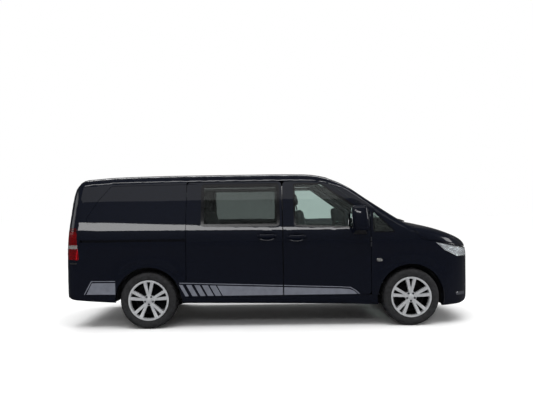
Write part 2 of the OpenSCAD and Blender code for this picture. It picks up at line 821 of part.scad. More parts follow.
// Corners of a rectangle from the origin, rounded by r in a few flats
corner_turns = [0, 30, 60, 90];
function round_rect(w, h, r) = [for (c = [[w - r, h - r, 0], [r, h - r, 90], [r, r, 180], [w - r, r, 270]])
    for (t = corner_turns) [c[0] + r * cos(c[2] + t), c[1] + r * sin(c[2] + t)]];
module block(d, w, h, r) {
    translate([0, -w / 2, 0]) intersection() {
        linear_extrude(h) polygon(round_rect(d, w, r));
        translate([0, w, 0]) rotate([90, 0, 0]) linear_extrude(w) polygon(round_rect(d, h, r));
    }
}
module one_seat(w, rests) {
    translate([base_set, -w * 0.4, 0]) cube([cushion_d - 2 * base_set, w * 0.8, seat_base_h + over]);
    translate([0, 0, seat_base_h]) block(cushion_d, w, cushion_t, corner_r);
    translate([corner_r, 0, seat_base_h + cushion_t * 0.5]) rotate([0, -back_lean, 0])
        translate([-back_t / 2, 0, 0]) {
            block(back_t, w, back_h, corner_r);
            for (y = rests) translate([back_t * 0.1, y, back_h - rest_rise]) {
                translate([0, 0, rest_rise * 2])
                    block(back_t * 0.8, w / len(rests) * 0.5, headrest_h, corner_r * 0.8);
                translate([back_t * 0.4, 0, 0]) cylinder(h = rest_post_l, d = rest_post_d);
            }
        }
}
// Cushion to steering wheel hub, and front seat to bench
wheel_room = 78;
bench_pitch = 1221;
front_seat_x = steer_at[0] - wheel_room - cushion_d;
bench_x = front_seat_x - bench_pitch;
bench_w = half_w * 1.56;
module front_seats() {
    color(cloth) for (s = [1, -1])
        translate([front_seat_x, s * driver_y, floor_z + seat]) one_seat(seat_w, [0]);
}
module rear_bench() {
    color(cloth) translate([bench_x, 0, floor_z + seat])
        one_seat(bench_w, [-bench_w / 3, 0, bench_w / 3]);
}

// Plywood board on the floor behind the bench
board_t = 9;
board_set = 271;
board_front_x = bench_x - board_set;
board_rear_x = place_x(-0.9);
module load_board() {
    color([0.35, 0.3, 0.25]) translate([board_rear_x, -well_y_rear + corner_r, floor_z + seat])
        linear_extrude(board_t)
            polygon(round_rect(board_front_x - board_rear_x, 2 * (well_y_rear - corner_r), corner_r));
}

// Under the bonnet and below the floor
engine_half_w = half_w * 0.4;
engine_back = 160;
engine_front = 420;
cover_inset = 100;
cover_half_w = engine_half_w * 0.8;
engine_top_z = body_height * 0.44;
cover_top_z = body_height * 0.49;
module engine() {
    color(steel_grey) {
        box(front_axle_x - engine_back, front_axle_x + engine_front, -engine_half_w, engine_half_w,
            floor_z - floor_t, engine_top_z);
        box(front_axle_x - engine_back + cover_inset, front_axle_x + engine_front - cover_inset,
            -cover_half_w, cover_half_w, engine_top_z - seat, cover_top_z);
    }
}
// Kingpins, ball pins and lower arms of the front suspension
kingpin_set = 60;
kingpin_y = track / 2 - kingpin_set;
ball_r = 14;
run = 0.1;
arm_drop = 125;
arm_z = axle_z - arm_drop;
arm_t = 34;
arm_r = 35;
// Crossmember, rails and front beam with the tow eye's socket
cross_half_l = 170;
subframe_half_w = half_w * 0.48;
eye_r = 18;
eye_y = -half_w * 0.3;
eye_z = body_height * 0.2;
eye_depth = 70;
beam_x = place_x(0.955);
beam_d = 90;
rail_h = 90;
rail_y = half_w * 0.36;
rail_back = 260;
strut_half_l = 60;
rail_top_z = floor_z - floor_t - seat;
module front_subframe() {
    color(steel_grey) difference() {
        union() {
            box(front_axle_x - cross_half_l, front_axle_x + cross_half_l, -subframe_half_w, subframe_half_w,
                arm_z, arm_z + rail_h);
            for (s = [1, -1]) {
                box(front_axle_x - arm_r, front_axle_x + arm_r, min(0, s * kingpin_y), max(0, s * kingpin_y),
                    arm_z, arm_z + arm_t);
                translate([front_axle_x, s * kingpin_y, arm_z]) cylinder(h = arm_t, r = arm_r);
                translate([front_axle_x, s * kingpin_y, arm_z]) cylinder(h = arm_t * 2, r = ball_r);
                box(cab_front_x - rail_back, beam_x - beam_d / 2, s * rail_y - rail_h / 2,
                    s * rail_y + rail_h / 2, rail_top_z - rail_h, rail_top_z);
                box(front_axle_x - strut_half_l, front_axle_x + strut_half_l, s * rail_y - rail_h / 2,
                    s * rail_y + rail_h / 2, arm_z + rail_h - seat, rail_top_z - rail_h + seat);
            }
            box(beam_x - beam_d, beam_x, -subframe_half_w, subframe_half_w, eye_z - rail_h / 2, rail_top_z);
        }
        translate([beam_x - eye_depth, eye_y, eye_z]) rotate([0, 90, 0])
            cylinder(h = eye_depth + over, r = eye_r);
    }
}
// Knuckle: hub carrier, spindle, kingpin post, brake caliper and its arm
spindle_r = 30;
spindle_in = 60;
hub_y = 12;
carrier_r = 62;
carrier_half_w = 42;
post_r = 34;
post_up = 90;
caliper_x = 100;
caliper_l = 60;
caliper_w = 84;
caliper_h = 80;
caliper_set = 24;
caliper_arm_x = 40;
caliper_arm_w = 40;
caliper_arm_h = 60;
disc_r = 160;
disc_w = 24;
disc_clear = 12;
carrier_clear = 2;
module knuckle(s) {
    color(steel_grey) scale([1, s, 1]) translate([front_axle_x, 0, axle_z]) difference() {
        union() {
            translate([0, kingpin_y + carrier_half_w, 0]) rotate([90, 0, 0])
                cylinder(h = 2 * carrier_half_w, r = carrier_r);
            translate([0, track / 2 + hub_y, 0]) rotate([90, 0, 0])
                cylinder(h = hub_y + spindle_in, r = spindle_r);
            translate([0, kingpin_y, -arm_drop + arm_t + seat]) cylinder(h = arm_drop + post_up, r = post_r);
            translate([caliper_x, kingpin_y - caliper_set, -caliper_h / 2])
                cube([caliper_l, caliper_w, caliper_h]);
            translate([caliper_arm_x, kingpin_y - caliper_set, -caliper_arm_h / 2])
                cube([caliper_x - caliper_arm_x + caliper_l / 3, caliper_arm_w, caliper_arm_h]);
        }
        translate([0, kingpin_y, -arm_drop]) cylinder(h = arm_t * 2 + seat, r = ball_r + run);
        translate([0, kingpin_y + carrier_half_w, 0]) rotate([-90, 0, 0]) difference() {
            cylinder(h = disc_w + disc_clear, r = disc_r + disc_clear);
            cylinder(h = disc_w + disc_clear, r = carrier_r + carrier_clear);
        }
    }
}
// Rear axle: beam between the hubs, with a trailing arm and its bracket on each side
axle_beam_r = 45;
stub_in = 120;
beam_out = 40;
link_l = 560;
link_bracket_l = 80;
link_half_h = 30;
link_in_y = half_w * 0.5;
link_out_y = half_w * 0.58;
module rear_axle() {
    color(steel_grey) for (s = [1, -1]) scale([1, s, 1]) {
        translate([rear_axle_x, track / 2 + hub_y, axle_z]) rotate([90, 0, 0])
            cylinder(h = hub_y + stub_in, r = spindle_r);
        translate([rear_axle_x, kingpin_y + beam_out, axle_z]) rotate([90, 0, 0])
            cylinder(h = kingpin_y + beam_out, r = axle_beam_r);
        box(rear_axle_x, rear_axle_x + link_l, link_in_y, link_out_y,
            axle_z - link_half_h, axle_z + link_half_h);
        box(rear_axle_x + link_l - link_bracket_l, rear_axle_x + link_l, link_in_y, link_out_y,
            axle_z - link_half_h, rail_top_z);
    }
}
tank_rear_x = place_x(-0.1);
tank_front_x = place_x(0.22);
tank_in_y = half_w * 0.05;
tank_out_y = half_w * 0.62;
tank_drop = 110;
module fuel_tank() {
    color(trim_black) box(tank_rear_x, tank_front_x, tank_in_y, tank_out_y, axle_z - tank_drop, rail_top_z);
}
// Exhaust: pipe, silencer and hanger
pipe_r = 32;
silencer_r = 83.2;
silencer_l = 460;
silencer_x = rear_axle_x + axle_beam_r + silencer_r * 2.6;
pipe_end_x = front_axle_x - cross_half_l - pipe_r;
hanger_l = 40;
exhaust_drop = 10;
exhaust_y = -half_w * 0.3;
exhaust_z = axle_z - exhaust_drop;
module exhaust() {
    color(steel_grey) {
        translate([silencer_x, exhaust_y, exhaust_z]) rotate([0, 90, 0])
            cylinder(h = silencer_l, r = silencer_r);
        translate([silencer_x + silencer_l - pipe_r, exhaust_y, exhaust_z]) rotate([0, 90, 0])
            cylinder(h = pipe_end_x - silencer_x - silencer_l + pipe_r, r = pipe_r);
        box(silencer_x + silencer_l / 2 - hanger_l / 2, silencer_x + silencer_l / 2 + hanger_l / 2,
            exhaust_y - hanger_l / 2, exhaust_y + hanger_l / 2, exhaust_z, rail_top_z);
    }
}

// Wipers lie across the scuttle, just above the lower edge of the windscreen
wiper_l = 620;
wiper_r = 8;
wiper_steps = 3;
wiper_set = 50;
wiper_lift = 4;
wiper_x = cowl_x - wiper_set;
wiper_start_ys = [-half_w * 0.62, half_w * 0.06];
function edge_y(x) =
    let (w = plan_y(x), r = edge_r(x), z = top_z(x) - crown(x) - r, y = side_y(x, z, w))
    2 * y - side_y(x, z - r, w);
function wiper_z(y) = top_z(wiper_x) - crown(wiper_x) * (y / edge_y(wiper_x)) ^ 2 + wiper_r + wiper_lift;
function wiper_point(y) = [wiper_x, y, wiper_z(y)];
module wipers() {
    color(trim_black) panel() difference() {
        for (y0 = wiper_start_ys) for (i = [0:wiper_steps - 1])
            hull() for (k = [i, i + 1])
                translate(wiper_point(y0 + wiper_l * k / wiper_steps)) sphere(r = wiper_r, $fn = 8);
        body_form(-seat, true);
    }
}

// Wheels, outer face up before they are turned into place
rim_r = rim_d / 2;
bead_drop = 12;
bead_r = rim_r - bead_drop;
bead_set = 19.5;
bead_y = tyre_w / 2 - bead_set;
lip_t = 9;
barrel_t = 22;
barrel_neck_t = 14;
barrel_mouth_t = 10;
barrel_neck_set = 30;
hub_r = 68;
hub_back = 8;
hub_t = 66;
bore_back = 20;
bore_end = 4;
spoke_w = 30;
spoke_spread = 13;
spoke_flare = 20;
spoke_root = 3;
spoke_back_z = 50;
spoke_edge_back_z = 58;
spoke_edge_z = 108;
spoke_mid_z = 100;
hub_edge_z = 88;
hub_face_z = 86;
spoke_seat = 5;
module wheel_at(x, s) {
    translate([x, s * track / 2, axle_z]) rotate([-90 * s, 0, 0]) children();
}
module barrel() {
    rotate_extrude() polygon([[bead_r - barrel_t, -bead_y - lip_t], [rim_r, -bead_y - lip_t],
        [rim_r, -bead_y - seat],
        [bead_r - seat, -bead_y - seat], [bead_r - seat, bead_y + seat], [rim_r, bead_y + seat],
        [rim_r, bead_y + lip_t], [bead_r - barrel_mouth_t, bead_y + lip_t],
        [bead_r - barrel_neck_t, bead_y - barrel_neck_set], [bead_r - barrel_t, -bead_y + barrel_neck_set]]);
}
// One of a pair of spokes: e is -1 or 1, and they spread towards the lip
module spoke_2d(e) {
    root = e * spoke_root;
    tip = e * spoke_flare;
    polygon([[0, -spoke_w * 0.62], [hub_r, root - spoke_w * 0.5], [bead_r, tip - spoke_w * 0.7],
        [bead_r, tip + spoke_w * 0.7], [hub_r, root + spoke_w * 0.5], [0, spoke_w * 0.62]]);
}
module spokes() {
    intersection() {
        rotate_extrude() polygon([[0, spoke_back_z], [bead_r - spoke_seat, spoke_edge_back_z],
            [bead_r - spoke_seat, spoke_edge_z], [hub_r * 2, spoke_mid_z], [hub_r, hub_edge_z],
            [0, hub_face_z]]);
        linear_extrude(tall, center = true) {
            for (i = [0:spoke_pairs - 1]) for (e = [-1, 1])
                rotate(360 * i / spoke_pairs + 90) rotate(e * spoke_spread * 0.5) spoke_2d(e);
            circle(hub_r);
        }
    }
}
module rim() {
    color(alloy) difference() {
        union() {
            barrel();
            spokes();
            translate([0, 0, -hub_back]) cylinder(h = hub_t, r = hub_r);
            translate([0, 0, -disc_w / 2]) cylinder(h = disc_w, r = disc_r);
        }
        translate([0, 0, -bore_back]) cylinder(h = bore_back + hub_y + bore_end, r = spindle_r + run);
    }
}
// Tyre section: distances in from the tread and the sidewalls
bead_rise = 8;
bead_out = 4;
belly_rise = 44;
shoulder_shares = [[0.371, 0.057], [0.114, 0.229], [0.029, 0.486], [0, 1]];
shoulder_w = 70;
module tyre() {
    b = tyre_w / 2;
    t = tyre_d / 2;
    half = concat(
        [[bead_r, bead_y], [rim_r + seat, bead_y], [rim_r + bead_rise, bead_y + bead_out],
            [rim_r + belly_rise, b]],
        [for (p = shoulder_shares) [t - p[0] * shoulder_w, b - p[1] * shoulder_w]]
    );
    color(trim_black) rotate_extrude($fn = 64)
        polygon(concat(half, [for (i = [len(half) - 1:-1:0]) [half[i][0], -half[i][1]]]));
}

platform();
load_board();
roof();
quarter_panels();
b_pillars();
windscreen_frame();
wings();
windscreen();
side_glass();
sliding_doors();
front_bumper();
grille();
headlamps();
rear_bumper();
tail_lamps();
wheel_liners();
bulkhead();
dashboard();
front_seats();
rear_bench();
engine();
front_subframe();
rear_axle();
fuel_tank();
exhaust();
hinge_pins();
wipers();
front_door(1);  // door_left
front_door(-1);  // door_right
door_glass(1);  // door_glass_left
door_glass(-1);  // door_glass_right
door_mirror(1);  // mirror_left
door_mirror(-1);  // mirror_right
bonnet();
tailgate();
tailgate_glass();
steering_wheel();
knuckle(1);  // knuckle_left
knuckle(-1);  // knuckle_right
wheel_at(front_axle_x, 1) rim();  // rim_front_left
wheel_at(front_axle_x, -1) rim();  // rim_front_right
wheel_at(rear_axle_x, 1) rim();  // rim_rear_left
wheel_at(rear_axle_x, -1) rim();  // rim_rear_right
wheel_at(front_axle_x, 1) tyre();  // tyre_front_left
wheel_at(front_axle_x, -1) tyre();  // tyre_front_right
wheel_at(rear_axle_x, 1) tyre();  // tyre_rear_left
wheel_at(rear_axle_x, -1) tyre();  // tyre_rear_right
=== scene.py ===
"""Looks of the van: smooth painted panels, glass, wheels with tread, lamps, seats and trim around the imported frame."""
import math

import bmesh
import bpy
from mathutils import Matrix, Vector
from mathutils.bvhtree import BVHTree


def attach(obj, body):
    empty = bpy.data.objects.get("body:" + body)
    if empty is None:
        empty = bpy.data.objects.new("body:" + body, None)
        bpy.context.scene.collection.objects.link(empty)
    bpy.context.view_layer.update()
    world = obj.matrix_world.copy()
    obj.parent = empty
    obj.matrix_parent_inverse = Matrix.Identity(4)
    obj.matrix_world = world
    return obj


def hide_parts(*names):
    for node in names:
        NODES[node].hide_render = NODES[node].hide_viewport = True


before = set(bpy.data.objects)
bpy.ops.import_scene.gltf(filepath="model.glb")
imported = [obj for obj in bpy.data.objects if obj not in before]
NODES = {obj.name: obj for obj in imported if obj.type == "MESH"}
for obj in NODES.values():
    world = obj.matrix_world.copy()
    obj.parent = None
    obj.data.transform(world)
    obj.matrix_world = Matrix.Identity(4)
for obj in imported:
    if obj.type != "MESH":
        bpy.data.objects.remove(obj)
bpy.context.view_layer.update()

# Driving sizes in metres
BODY_LENGTH = 5.14
BODY_WIDTH = 1.928
BODY_HEIGHT = 1.91
HALF_L = BODY_LENGTH / 2
HALF_W = BODY_WIDTH / 2
FRONT_AXLE_X = HALF_L - 0.895
REAR_AXLE_X = FRONT_AXLE_X - 3.2
AXLE_Z = 0.347
TRACK = 1.64
ARCH_R = 0.405
TAIL_R = 0.13
TAIL_X = -HALF_L + 0.022
LEAN_REACH = 0.9
SILL_R = 0.034
FLARE = 0.014
FLARE_WIDTH = 0.15
GLASS_INSET = 0.003
GLASS_WALL = 0.006

# The body's curves, as shares of half length, half width and height
TOP_SHARES = [(-1, 0.972), (-0.9, 0.981), (-0.78, 0.991), (-0.4, 0.999), (0, 1), (0.117, 0.9985),
              (0.195, 0.995), (0.253, 0.986), (0.31, 0.964), (0.362, 0.932), (0.449, 0.852), (0.545, 0.764),
              (0.622, 0.697), (0.662, 0.668), (0.72, 0.65), (0.807, 0.622), (0.908, 0.573), (0.966, 0.531),
              (0.988, 0.497), (1, 0.445)]
BOTTOM_SHARES = [(-1, 0.205), (-0.95, 0.185), (-0.75, 0.168), (-0.4, 0.16), (0.45, 0.138),
                 (0.75, 0.12), (0.9, 0.122), (0.945, 0.135), (0.975, 0.155), (0.99, 0.185), (1, 0.235)]
PLAN_SHARES = [(-1, 0.962), (-0.8, 0.985), (-0.5, 1), (0.5, 1), (0.66, 0.992), (0.76, 0.972),
               (0.82, 0.945), (0.87, 0.893), (0.905, 0.828), (0.934, 0.745), (0.957, 0.64), (0.975, 0.5),
               (0.99, 0.33), (1, 0.16)]
SIDE_SHARES = [(0.1, 0.952), (0.15, 0.962), (0.2, 0.973), (0.28, 0.981), (0.38, 0.984),
               (0.46, 0.988), (0.51, 0.998), (0.55, 1), (0.6, 0.992), (0.645, 0.972), (0.75, 0.918),
               (0.85, 0.861), (0.93, 0.808), (1, 0.75)]
CROWN_SHARES = [(-1, 0.016), (0.15, 0.018), (0.35, 0.04), (0.6, 0.042), (0.75, 0.03), (1, 0.03)]
EDGE_SHARES = [(-1, 0.05), (0.15, 0.05), (0.35, 0.03), (0.6, 0.04), (0.75, 0.075), (0.95, 0.085), (1, 0.06)]
LEAN_SHARES = [(0.1, 0.008), (0.2, 0), (0.42, 0), (0.55, 0.004), (0.655, 0.009), (0.744, 0.0145),
               (0.804, 0.018), (0.882, 0.026), (0.942, 0.036), (1, 0.05)]


def curve(t, table):
    """Smooth curve through a table, without overshoot."""
    t = min(max(t, table[0][0]), table[-1][0])
    i = 0
    while i < len(table) - 2 and t >= table[i + 1][0]:
        i += 1
    chords = [(b[1] - a[1]) / (b[0] - a[0]) for a, b in zip(table, table[1:])]

    def bend(k):
        """The slope at a row, level at a peak."""
        if k == 0:
            return chords[0]
        if k == len(table) - 1:
            return chords[-1]
        if chords[k - 1] * chords[k] <= 0:
            return 0
        return 2 * chords[k - 1] * chords[k] / (chords[k - 1] + chords[k])

    h = table[i + 1][0] - table[i][0]
    u = (t - table[i][0]) / h
    a, b = table[i][1], table[i + 1][1]
    return (a * (2 * u**3 - 3 * u**2 + 1) + h * bend(i) * (u**3 - 2 * u**2 + u)
            + b * (3 * u**2 - 2 * u**3) + h * bend(i + 1) * (u**3 - u**2))


def top_z(x):
    """Height of the roof line."""
    return BODY_HEIGHT * curve(x / HALF_L, TOP_SHARES)


def plan_y(x):
    """Half width of the body."""
    return HALF_W * curve(x / HALF_L, PLAN_SHARES)


def side_y(x, z, w):
    """Half width at a height, with the swell round the wheel arches."""
    swell = 0
    if z >= AXLE_Z - ARCH_R:
        r = min(math.hypot(x - a, z - AXLE_Z) - ARCH_R for a in (FRONT_AXLE_X, REAR_AXLE_X))
        swell = FLARE * math.exp(-2 * (r / FLARE_WIDTH) ** 2)
    return w * curve(z / BODY_HEIGHT, SIDE_SHARES) + swell * min(1, w / HALF_W) - FLARE / 2


SIDE_STEPS = 44
EDGE_STEPS = 7
CROWN_STEPS = 9


def half_ring(x, drop):
    """Half a cross section of the body's skin, from the sill up to the middle of the roof, as (y, z)."""
    w = plan_y(x) - drop
    zt = top_z(x) - drop
    zb = BODY_HEIGHT * curve(x / HALF_L, BOTTOM_SHARES)
    c = BODY_HEIGHT * curve(x / HALF_L, CROWN_SHARES)
    r = min(BODY_HEIGHT * curve(x / HALF_L, EDGE_SHARES), (zt - c - zb) / 3)
    zc = zt - c - r
    zs = zb + SILL_R
    ya = side_y(x, zc, w)
    yc = 2 * ya - side_y(x, zc - r, w)
    yb = yc - r
    a, k, b = Vector((ya, zc)), Vector((yc, zt - c)), Vector((yb, zt - c * (yb / yc) ** 2))
    points = [(side_y(x, zs, w) - SILL_R * (1 - t) ** 2, zb + SILL_R * t**2) for t in (0, 0.5)]
    for i in range(SIDE_STEPS + 1):
        z = zs + (zc - zs) * i / SIDE_STEPS
        points.append((side_y(x, z, w), z))
    for i in range(1, EDGE_STEPS + 1):
        t = i / EDGE_STEPS
        points.append(tuple(a * (1 - t) ** 2 + k * (2 * t * (1 - t)) + b * t**2))
    for i in range(1, CROWN_STEPS + 1):
        y = yb * (1 - i / CROWN_STEPS)
        points.append((y, zt - c * (y / yc) ** 2))
    return points


STATION_STEP = 0.03
NOSE_L = 0.42
NOSE_STEPS = 40
NOSE_CROWDING = 1.8


def reference_skin():
    """The body's skin as one fine closed loft. Panels and glass are smoothed onto it, and it isn't shown."""
    places = [(TAIL_X + TAIL_R * (1 - math.cos(math.radians(t))), TAIL_R * (1 - math.sin(math.radians(t))))
              for t in range(0, 91, 6)]
    start, end = TAIL_X + TAIL_R, HALF_L - NOSE_L
    count = round((end - start) / STATION_STEP)
    places += [(start + (end - start) * i / count, 0) for i in range(1, count + 1)]
    places += [(HALF_L - NOSE_L * (1 - i / NOSE_STEPS) ** NOSE_CROWDING, 0) for i in range(1, NOSE_STEPS + 1)]
    bm = bmesh.new()
    rings = []
    for x, drop in places:
        fade = max(0, 1 - (x - TAIL_X) / LEAN_REACH)
        half = half_ring(x, drop)
        ring = half + [(-y, z) for y, z in half[-2::-1]]
        rings.append([bm.verts.new((x + fade * HALF_L * curve(z / BODY_HEIGHT, LEAN_SHARES), y, z)) for y, z in ring])
    for a, b in zip(rings, rings[1:]):
        for i in range(len(a) - 1):
            bm.faces.new((a[i], b[i], b[i + 1], a[i + 1]))
    bm.faces.new(rings[0])
    bm.faces.new(rings[-1][::-1])
    bmesh.ops.recalc_face_normals(bm, faces=bm.faces)
    bm.normal_update()
    bm.verts.index_update()
    return bm


SKIN = reference_skin()
SKIN.faces.ensure_lookup_table()
SKIN_TREE = BVHTree.FromBMesh(SKIN)
if SKIN_TREE.ray_cast(Vector((0, -3, 1)), Vector((0, 1, 0)))[1].y > 0:
    bmesh.ops.reverse_faces(SKIN, faces=SKIN.faces)
    SKIN.normal_update()
    SKIN_TREE = BVHTree.FromBMesh(SKIN)


def skin_at(point):
    """Nearest point on the skin and the smooth normal there."""
    place, normal, index, _ = SKIN_TREE.find_nearest(point)
    face = SKIN.faces[index]
    if len(face.verts) > 4:
        return place, normal
    total = Vector()
    for v in face.verts:
        total += v.normal / ((v.co - place).length + 1e-5)
    return place, total.normalized()


def srgb(code):
    """Linear colour of an sRGB hex code such as 1a2b3c."""
    values = [int(code[i:i + 2], 16) / 255 for i in (0, 2, 4)]
    return (*[v / 12.92 if v <= 0.04045 else ((v + 0.055) / 1.055) ** 2.4 for v in values], 1.0)


def add(tree, kind, links=None, **settings):
    """Adds a node. Settings name its properties or its input sockets, links map input sockets to outputs."""
    node = tree.nodes.new(kind)
    for key, value in settings.items():
        if hasattr(node, key):
            setattr(node, key, value)
        else:
            node.inputs[key.replace("_", " ")].default_value = value
    for socket, output in (links or {}).items():
        tree.links.new(output, node.inputs[socket])
    return node


def material(name, color, **sockets):
    """A new Principled material. Returns it with its tree, its shader and its object coordinates."""
    made = bpy.data.materials.new(name)
    made.use_nodes = True
    tree = made.node_tree
    shader = tree.nodes["Principled BSDF"]
    shader.inputs["Base Color"].default_value = srgb(color)
    for key, value in sockets.items():
        shader.inputs[key.replace("_", " ")].default_value = value
    coords = tree.nodes.new("ShaderNodeTexCoord").outputs["Object"]
    return made, tree, shader, coords


def speckle(tree, shader, coords, millimetres, low, high, socket="Base Color", detail=3.0):
    """Varies a socket between two values, or two hex colours, in blotches of about that size."""
    noise = add(tree, "ShaderNodeTexNoise", {"Vector": coords}, Scale=1000 / millimetres, Detail=detail)
    if socket == "Base Color":
        ramp = add(tree, "ShaderNodeValToRGB", {"Fac": noise.outputs["Fac"]})
        ramp.color_ramp.elements[0].color = srgb(low)
        ramp.color_ramp.elements[0].position = 0.3
        ramp.color_ramp.elements[1].color = srgb(high)
        ramp.color_ramp.elements[1].position = 0.7
        tree.links.new(ramp.outputs["Color"], shader.inputs[socket])
    else:
        ranged = add(tree, "ShaderNodeMapRange", {"Value": noise.outputs["Fac"]},
                     From_Min=0.3, From_Max=0.7, To_Min=low, To_Max=high)
        tree.links.new(ranged.outputs["Result"], shader.inputs[socket])


def make_paint():
    """Metallic lacquer over steel: a deep blue-black with fine flake under a clear coat that mirrors the room."""
    made, tree, shader, coords = material("clearcoat_metallic_paint", "060912", Metallic=0.2, Roughness=0.4,
                                          Specular_IOR_Level=0.1, Coat_Weight=1.0, Coat_Roughness=0.02, Coat_IOR=1.45)
    # flake of 0.1 mm is drawn at 1.5 mm so that it shows
    speckle(tree, shader, coords, 1.5, "03060e", "0a0f1e")
    # slow orange peel of the sprayed lacquer, 12 mm across
    peel = add(tree, "ShaderNodeTexNoise", {"Vector": coords}, Scale=1000 / 12, Detail=1.0)
    relief = add(tree, "ShaderNodeBump", {"Height": peel.outputs["Fac"]}, Distance=0.00002, Strength=1.0)
    tree.links.new(relief.outputs["Normal"], shader.inputs["Normal"])
    return made


def make_glass(name, color, rough):
    """Toughened float glass: clear to the eye, with a faint film that softens the mirror image."""
    made, tree, shader, coords = material(name, color, Transmission_Weight=1.0, IOR=1.45)
    speckle(tree, shader, coords, 90, rough, rough + 0.02, "Roughness", 2.0)
    return made


def make_moulded(name, low, high, rough, grain_mm, depth):
    """Moulded plastic: an even tone broken by a fine etched grain that scatters the light."""
    made, tree, shader, coords = material(name, low, Roughness=rough)
    speckle(tree, shader, coords, 60, low, high)
    grain = add(tree, "ShaderNodeTexVoronoi", {"Vector": coords}, Scale=1000 / grain_mm)
    relief = add(tree, "ShaderNodeBump", {"Height": grain.outputs["Distance"]}, Distance=depth, Strength=0.6)
    tree.links.new(relief.outputs["Normal"], shader.inputs["Normal"])
    return made


def make_metal(name, low, high, rough_low, rough_high, grain_mm, coat=0.0, metallic=1.0):
    """Bare or plated metal: bright, with a soft change in gloss where hands and road dirt have been."""
    made, tree, shader, coords = material(name, low, Metallic=metallic, Coat_Weight=coat)
    speckle(tree, shader, coords, grain_mm * 6, low, high)
    speckle(tree, shader, coords, grain_mm, rough_low, rough_high, "Roughness", 4.0)
    return made


def make_rubber():
    """Tyre rubber: matt charcoal, a little greyer with dust in the low spots, with fine mould grain."""
    made, tree, shader, coords = material("vulcanised_rubber", "1c1c1d", Roughness=0.75)
    speckle(tree, shader, coords, 35, "171718", "27272a")
    speckle(tree, shader, coords, 25, 0.62, 0.85, "Roughness")
    fine = add(tree, "ShaderNodeTexNoise", {"Vector": coords}, Scale=1000 / 3, Detail=4.0)
    relief = add(tree, "ShaderNodeBump", {"Height": fine.outputs["Fac"]}, Distance=0.0004, Strength=1.0)
    tree.links.new(relief.outputs["Normal"], shader.inputs["Normal"])
    return made


def make_cloth():
    """Woven seat cloth: charcoal yarn in a plain weave with a soft nap at the edges of the light."""
    made, tree, shader, coords = material("woven_seat_cloth", "2b2d31", Roughness=0.9, Sheen_Weight=0.35)
    speckle(tree, shader, coords, 14, "24262a", "383b41")
    # yarn of 1 mm is drawn at 4 mm so that it shows
    yarns = 1 / (0.004 * 2 * math.pi) * 2
    warp = add(tree, "ShaderNodeTexWave", {"Vector": coords}, Scale=yarns, bands_direction="Y")
    weft = add(tree, "ShaderNodeTexWave", {"Vector": coords}, Scale=yarns, bands_direction="Z")
    both = add(tree, "ShaderNodeMath", {0: warp.outputs["Fac"], 1: weft.outputs["Fac"]}, operation="MAXIMUM")
    relief = add(tree, "ShaderNodeBump", {"Height": both.outputs["Value"]}, Distance=0.0006, Strength=1.0)
    tree.links.new(relief.outputs["Normal"], shader.inputs["Normal"])
    return made


def make_lens(name, color, rib_mm, depth):
    """Moulded polycarbonate lens: clear or dyed, with shallow level ribs that break up the light."""
    made, tree, shader, coords = material(name, color, Transmission_Weight=0.85, IOR=1.5, Roughness=0.06)
    ribs = add(tree, "ShaderNodeTexWave", {"Vector": coords}, Scale=1000 / rib_mm / 20 * math.pi, bands_direction="Z")
    speckle(tree, shader, coords, 40, 0.03, 0.1, "Roughness")
    relief = add(tree, "ShaderNodeBump", {"Height": ribs.outputs["Fac"]}, Distance=depth, Strength=1.0)
    tree.links.new(relief.outputs["Normal"], shader.inputs["Normal"])
    return made


def make_plywood():
    """Film-faced birch plywood: brown with long grain, worn paler where loads slide."""
    made, tree, shader, coords = material("phenolic_plywood", "4a3a2c", Roughness=0.55)
    stretched = add(tree, "ShaderNodeMapping", {"Vector": coords}, Scale=(0.12, 1, 1))
    speckle(tree, shader, stretched.outputs["Vector"], 18, "3c2f24", "5c4936", detail=6.0)
    speckle(tree, shader, coords, 120, 0.45, 0.7, "Roughness")
    return made


PAINT = make_paint()
CLEAR_GLASS = make_glass("clear_toughened_glass", "c6d3cf", 0.0)
PRIVACY_GLASS = make_glass("privacy_toughened_glass", "8a918f", 0.0)
FRIT = make_moulded("black_ceramic_frit", "08080a", "101013", 0.12, 2, 0.00001)
TRIM = make_moulded("grained_black_polypropylene", "141416", "1d1d20", 0.55, 3, 0.0003)
DASH = make_moulded("soft_touch_dashboard", "26272a", "303136", 0.7, 4, 0.0004)
LINING = make_moulded("moulded_door_lining", "33353a", "3e4046", 0.65, 4, 0.0004)
GLOSS_BLACK = make_moulded("gloss_black_acrylic", "070708", "0d0d10", 0.1, 5, 0.00001)
ALLOY = make_metal("lacquered_cast_aluminium", "c9cbce", "dcdee0", 0.34, 0.48, 6, 0.4, 0.55)
# the barrel's near-black colour is painted shade for the hollow behind the spokes
SHADED_BARREL_ALLOY = make_metal("aluminium_with_painted_barrel_shade", "1c1c1e", "2c2c30", 0.55, 0.75, 8)
CHROME = make_metal("chromed_plastic", "c4c7cb", "d6d9dc", 0.04, 0.1, 12)
STEEL = make_metal("mill_steel", "55585c", "74777c", 0.35, 0.6, 10)
UNDERBODY = make_moulded("stone_chip_coating", "1a1b1d", "26272a", 0.8, 6, 0.0008)
CAST_IRON = make_metal("cast_iron", "3a3836", "54504c", 0.5, 0.75, 5)
RUBBER = make_rubber()
CLOTH = make_cloth()
CLEAR_LENS = make_lens("clear_polycarbonate_lens", "f2f6f8", 18, 0.0002)
RED_LENS = make_lens("red_polycarbonate_lens", "b01018", 14, 0.0006)
REFLECTOR = make_metal("vapour_coated_reflector", "d4d6d8", "eceef0", 0.05, 0.14, 10)
VINYL = make_moulded("grey_vinyl_film", "5c5f68", "686b75", 0.3, 4, 0.00002)
LENS_WHITE = make_lens("white_polycarbonate_lens", "e8e8e4", 6, 0.0004)
SMOKED_LENS = make_lens("smoked_red_polycarbonate_lens", "7a1a1e", 14, 0.0006)
MIRROR_GLASS = make_metal("silvered_mirror_glass", "b8bcc0", "c6cacd", 0.02, 0.04, 30)
PLYWOOD = make_plywood()


